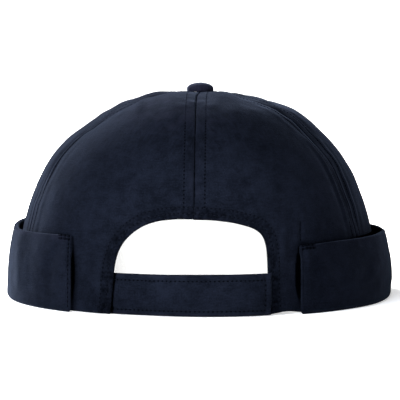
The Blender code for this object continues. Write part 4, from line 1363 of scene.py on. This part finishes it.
def finish(name):
    """One of the finishes by name, made when it is first asked for."""
    cloth, floor_tone = bpy.context.scene.hat_cloth, bpy.context.scene.hat_stage.floor_tone
    navy, rubbed_and_highlight, clouding = tuple(cloth.navy), (*cloth.rubbed_and_highlight, 1.0), cloth.clouding
    makers = {
        "brushed_navy": (brushed_cotton, navy, clouding, cloth.nap_sheen, rubbed_and_highlight),
        "navy_in_shade": (brushed_cotton, navy, clouding, 0.0, rubbed_and_highlight),
        "navy_wrong_side": (brushed_cotton, shade_of(navy, 1.1), 0.5 * clouding, 0.03),
        "button_cover_cotton": (brushed_cotton, tuple(cloth.button), 0.15, 0.10),
        "white_band_cotton": (white_band_cotton, tuple(cloth.band)),
        "grip_loops": (grip_loops, shade_of(navy, 0.8)),
        "navy_thread": (sewing_thread, tuple(cloth.thread), 0.62),
        "needle_shade": (sewing_thread, shade_of(navy, 0.22), 1.0),
        "shallow_needle_shade": (sewing_thread, shade_of(navy, 0.45), 1.0),
        "white_thread": (sewing_thread, (0.8, 0.8, 0.78), 0.7),
        "rivet_lacquer": (painted_metal,),
        "floor_paper": (floor_paper, floor_tone),
    }
    make, *values = makers[name]
    return bpy.data.materials.get(name) or make(name, *values)


# Stage


def sweep_mesh():
    """The floor and backdrop as one sheet: a level floor, a quarter circle and an upright wall."""
    radius, floor_to, wall = 1.2, 2.2, 3.0
    turn = np.linspace(0.0, np.pi / 2, 40)
    y = np.concatenate(((-3.0,), floor_to + radius * np.sin(turn), (floor_to + radius,)))
    z = np.concatenate(((0.0,), radius * (1 - np.cos(turn)), (wall,)))
    x = np.linspace(-4.0, 4.0, 3)
    points = np.stack(np.broadcast_arrays(x[None, :], y[:, None], z[:, None]), axis=-1)
    index = np.arange(points[..., 0].size).reshape(points.shape[:2])
    put_mesh("floor_sweep", points.reshape(-1, 3), [grid_faces(index)], ("floor_paper",))


def aim_from(name, data, place, aim):
    """A lamp or camera at this place, turned to its aim."""
    obj = bpy.data.objects.new(name, data)
    obj.location = place
    obj.rotation_euler = (Vector(aim) - Vector(place)).to_track_quat("-Z", "Y").to_euler()
    bpy.context.scene.collection.objects.link(obj)
    return obj


def add_lamp(kind, name, place, aim, power, **settings):
    """A lamp of this kind and power, with any other settings."""
    lamp = bpy.data.lights.new(name, kind)
    lamp.energy = power
    for key, value in settings.items():
        setattr(lamp, key, value)
    aim_from(name, lamp, place, aim)


def add_soft_light(name, place, aim, size, power, tint=(1.0, 1.0, 1.0)):
    """A lamp as large as this window, as its width and height."""
    add_lamp("AREA", name, place, aim, power, shape="RECTANGLE", size=size[0], size_y=size[1], color=tint)


def light_place(azimuth, height_angle, far=1.3):
    """A place this far from the hat's middle, at an azimuth and an angle above the level."""
    turn, climb = math.radians(azimuth), math.radians(height_angle)
    level = far * math.cos(climb)
    return level * math.sin(turn), -level * math.cos(turn), 0.05 + far * math.sin(climb)


def add_lights(stage):
    """A small lamp in front of the camera, whose soft narrow cone lights all that shows through the
    opening, and soft lights beside and above the camera, behind the hat and on the backdrop."""
    cone = {"spot_size": math.radians(8.4), "spot_blend": 1.0, "shadow_soft_size": 0.0015}
    add_lamp("SPOT", "front_light", (0.0, -0.96, 0.1125), (0.0, 0.0, 0.038), stage.front, **cone)
    middle = (0.0, 0.0, 0.05)
    cool, warm = (0.94, 1.0, 1.10), (1.0, 0.98, 0.95)
    add_soft_light("key_light", light_place(315.0, 22.0), middle, (0.6, 0.6), stage.key, cool)
    add_soft_light("fill_light", light_place(345.0, 26.0), middle, (0.6, 0.6), stage.fill, cool)
    add_soft_light("rim_light", light_place(217.0, 27.5), middle, (0.5, 0.5), stage.rim, warm)
    add_soft_light("backdrop_light", (0.0, 1.2, 1.6), (0.0, 3.2, 0.6), (3.0, 0.6), stage.backdrop)


def add_camera():
    """Looks at the middle of the hat from behind, a little above its top, as the photograph does."""
    lens = bpy.data.cameras.new("photo_camera")
    lens.lens, lens.sensor_width = VIEW_LENS, 36.0
    lens.clip_start, lens.clip_end = 0.05, 30.0
    place = (AXIS[0], AXIS[1] - VIEW_DISTANCE, VIEW_HEIGHT)
    aim = (AXIS[0] + VIEW_AIM[0], AXIS[1], VIEW_AIM[1])
    bpy.context.scene.camera = aim_from("photo_camera", lens, place, aim)


# Settings


class HatClothSettings(bpy.types.PropertyGroup):
    """Colours and sewing of the whole hat."""

    navy: FloatVectorProperty(
        name="Navy", description="Dye of the outer cloth", subtype="COLOR", default=(0.0031, 0.0040, 0.0070)
    )
    # The worn cloth's colour, which also paints the highlights on the crown's top and the cuff's top edge.
    rubbed_and_highlight: FloatVectorProperty(
        name="Rubbed", description="Worn cloth along seams", subtype="COLOR", default=(0.0066, 0.0070, 0.0120)
    )
    button: FloatVectorProperty(
        name="Button", description="Dye of its cover", subtype="COLOR", default=(0.0099, 0.0101, 0.0178)
    )
    thread: FloatVectorProperty(
        name="Thread", description="Dye of the thread", subtype="COLOR", default=(0.0034, 0.0042, 0.0068)
    )
    band: FloatVectorProperty(
        name="Sweatband", description="Colour of the band inside", subtype="COLOR", default=(0.94, 0.94, 0.93)
    )
    clouding: FloatProperty(
        name="Clouding", description="How uneven the dye is", subtype="FACTOR", min=0, max=0.8, default=0.45
    )
    nap_sheen: FloatProperty(
        name="Nap", description="Pale sheen of the brushed nap", subtype="FACTOR", min=0, max=1, default=0.05
    )
    pucker_depth: FloatProperty(
        name="Puckers", description="Depth of the puckers along seams", unit="LENGTH", default=0.00034
    )
    stitch_pitch: FloatProperty(
        name="Stitch pitch", description="From one stitch to the next", unit="LENGTH", default=0.0021
    )
    stitch_length: FloatProperty(
        name="Stitch length", description="Thread that shows in one stitch", unit="LENGTH", default=0.0016
    )
    thread_width: FloatProperty(
        name="Thread width", description="Thickness of the thread", unit="LENGTH", default=0.00034
    )


class HatStageSettings(bpy.types.PropertyGroup):
    """Floor and lights."""

    floor_tone: FloatProperty(
        name="Floor", description="Paleness of the floor", subtype="FACTOR", min=0, max=1, default=0.92
    )
    daylight: FloatProperty(name="Daylight", description="Light from all round", min=0, default=0.04)
    front: FloatProperty(name="Front", description="Small light by the camera", unit="POWER", default=46.0)
    key: FloatProperty(name="Key", description="Soft light from the left", unit="POWER", default=18.0)
    fill: FloatProperty(name="Fill", description="Soft light above the camera", unit="POWER", default=14.7)
    rim: FloatProperty(name="Rim", description="Soft light behind on the left", unit="POWER", default=78.0)
    backdrop: FloatProperty(name="Backdrop", description="Light on the backdrop", unit="POWER", default=60.0)


# Operators


class HAT_OT_crown(bpy.types.Operator):
    """Makes the six panels of the crown"""

    bl_idname = "docker_hat.crown"
    bl_label = "Crown panels"

    def execute(self, context):
        for index in range(len(PANELS)):
            crown_panel(index)
        return {"FINISHED"}


class HAT_OT_button(bpy.types.Operator):
    """Makes the covered button and its rivet"""

    bl_idname = "docker_hat.button"
    bl_label = "Button"

    def execute(self, context):
        button_mesh()
        return {"FINISHED"}


class HAT_OT_cuff(bpy.types.Operator):
    """Makes the turned-up cuff"""

    bl_idname = "docker_hat.cuff"
    bl_label = "Cuff"

    def execute(self, context):
        cuff_mesh()
        return {"FINISHED"}


class HAT_OT_strap(bpy.types.Operator):
    """Makes the strap, the tab under it and the grip pad between them"""

    bl_idname = "docker_hat.strap"
    bl_label = "Strap and tab"

    def execute(self, context):
        strap_pieces()
        return {"FINISHED"}


class HAT_OT_inside(bpy.types.Operator):
    """Makes the sweatband and the opening's facing"""

    bl_idname = "docker_hat.inside"
    bl_label = "Bands inside"

    def execute(self, context):
        sweatband_mesh()
        facing_mesh()
        return {"FINISHED"}


class HAT_OT_stitches(bpy.types.Operator):
    """Sews every row of stitches that shows"""

    bl_idname = "docker_hat.stitches"
    bl_label = "Stitches"

    def execute(self, context):
        sew("stitches_seams", "navy_cotton", seam_rows(), "navy_thread", "needle_shade")
        sew("stitches_opening", "navy_cotton", arch_rows(), "navy_thread", "shallow_needle_shade")
        sew("stitches_strap", "navy_cotton", strap_rows(), "navy_thread", "needle_shade")
        sew("stitches_cuff", "navy_cotton", cuff_end_row(), "navy_thread", "needle_shade")
        sew("stitches_tacks", "navy_cotton", tack_rows(), "needle_shade", "needle_shade")
        sew("stitches_sweatband", "white_cotton", sweatband_row(), "white_thread", "white_thread")
        return {"FINISHED"}


class HAT_OT_stage(bpy.types.Operator):
    """Sets the floor, the lights and the camera"""

    bl_idname = "docker_hat.stage"
    bl_label = "Stage"

    def execute(self, context):
        stage = context.scene.hat_stage
        sweep_mesh()
        world = bpy.data.worlds.new("daylight")
        world.use_nodes = True
        sky = world.node_tree.nodes["Background"].inputs
        sky["Color"].default_value = (1.0, 1.0, 1.0, 1.0)
        sky["Strength"].default_value = stage.daylight
        context.scene.world = world
        add_lights(stage)
        context.scene.view_settings.view_transform = "Standard"
        add_camera()
        return {"FINISHED"}


class HAT_PT_panel(bpy.types.Panel):
    """Lists the hat's pieces and settings"""

    bl_label = "Docker hat"
    bl_idname = "HAT_PT_panel"
    bl_space_type = "VIEW_3D"
    bl_region_type = "UI"
    bl_category = "Docker hat"

    def draw(self, context):
        for step in STEPS:
            self.layout.operator(step.bl_idname)
        for settings in (context.scene.hat_cloth, context.scene.hat_stage):
            for key in settings.bl_rna.properties.keys():
                if key not in ("rna_type", "name"):
                    self.layout.prop(settings, key)


STEPS = (HAT_OT_crown, HAT_OT_button, HAT_OT_cuff, HAT_OT_strap, HAT_OT_inside, HAT_OT_stitches, HAT_OT_stage)
CLASSES = (HatClothSettings, HatStageSettings, *STEPS, HAT_PT_panel)


def register():
    for each in CLASSES:
        bpy.utils.register_class(each)
    bpy.types.Scene.hat_cloth = PointerProperty(type=HatClothSettings)
    bpy.types.Scene.hat_stage = PointerProperty(type=HatStageSettings)


def unregister():
    del bpy.types.Scene.hat_stage
    del bpy.types.Scene.hat_cloth
    for each in reversed(CLASSES):
        bpy.utils.unregister_class(each)


def main():
    register()
    for step in STEPS:
        area, action = step.bl_idname.split(".")
        getattr(getattr(bpy.ops, area), action)()
    bpy.context.view_layer.update()


if __name__ == "__main__":
    main()
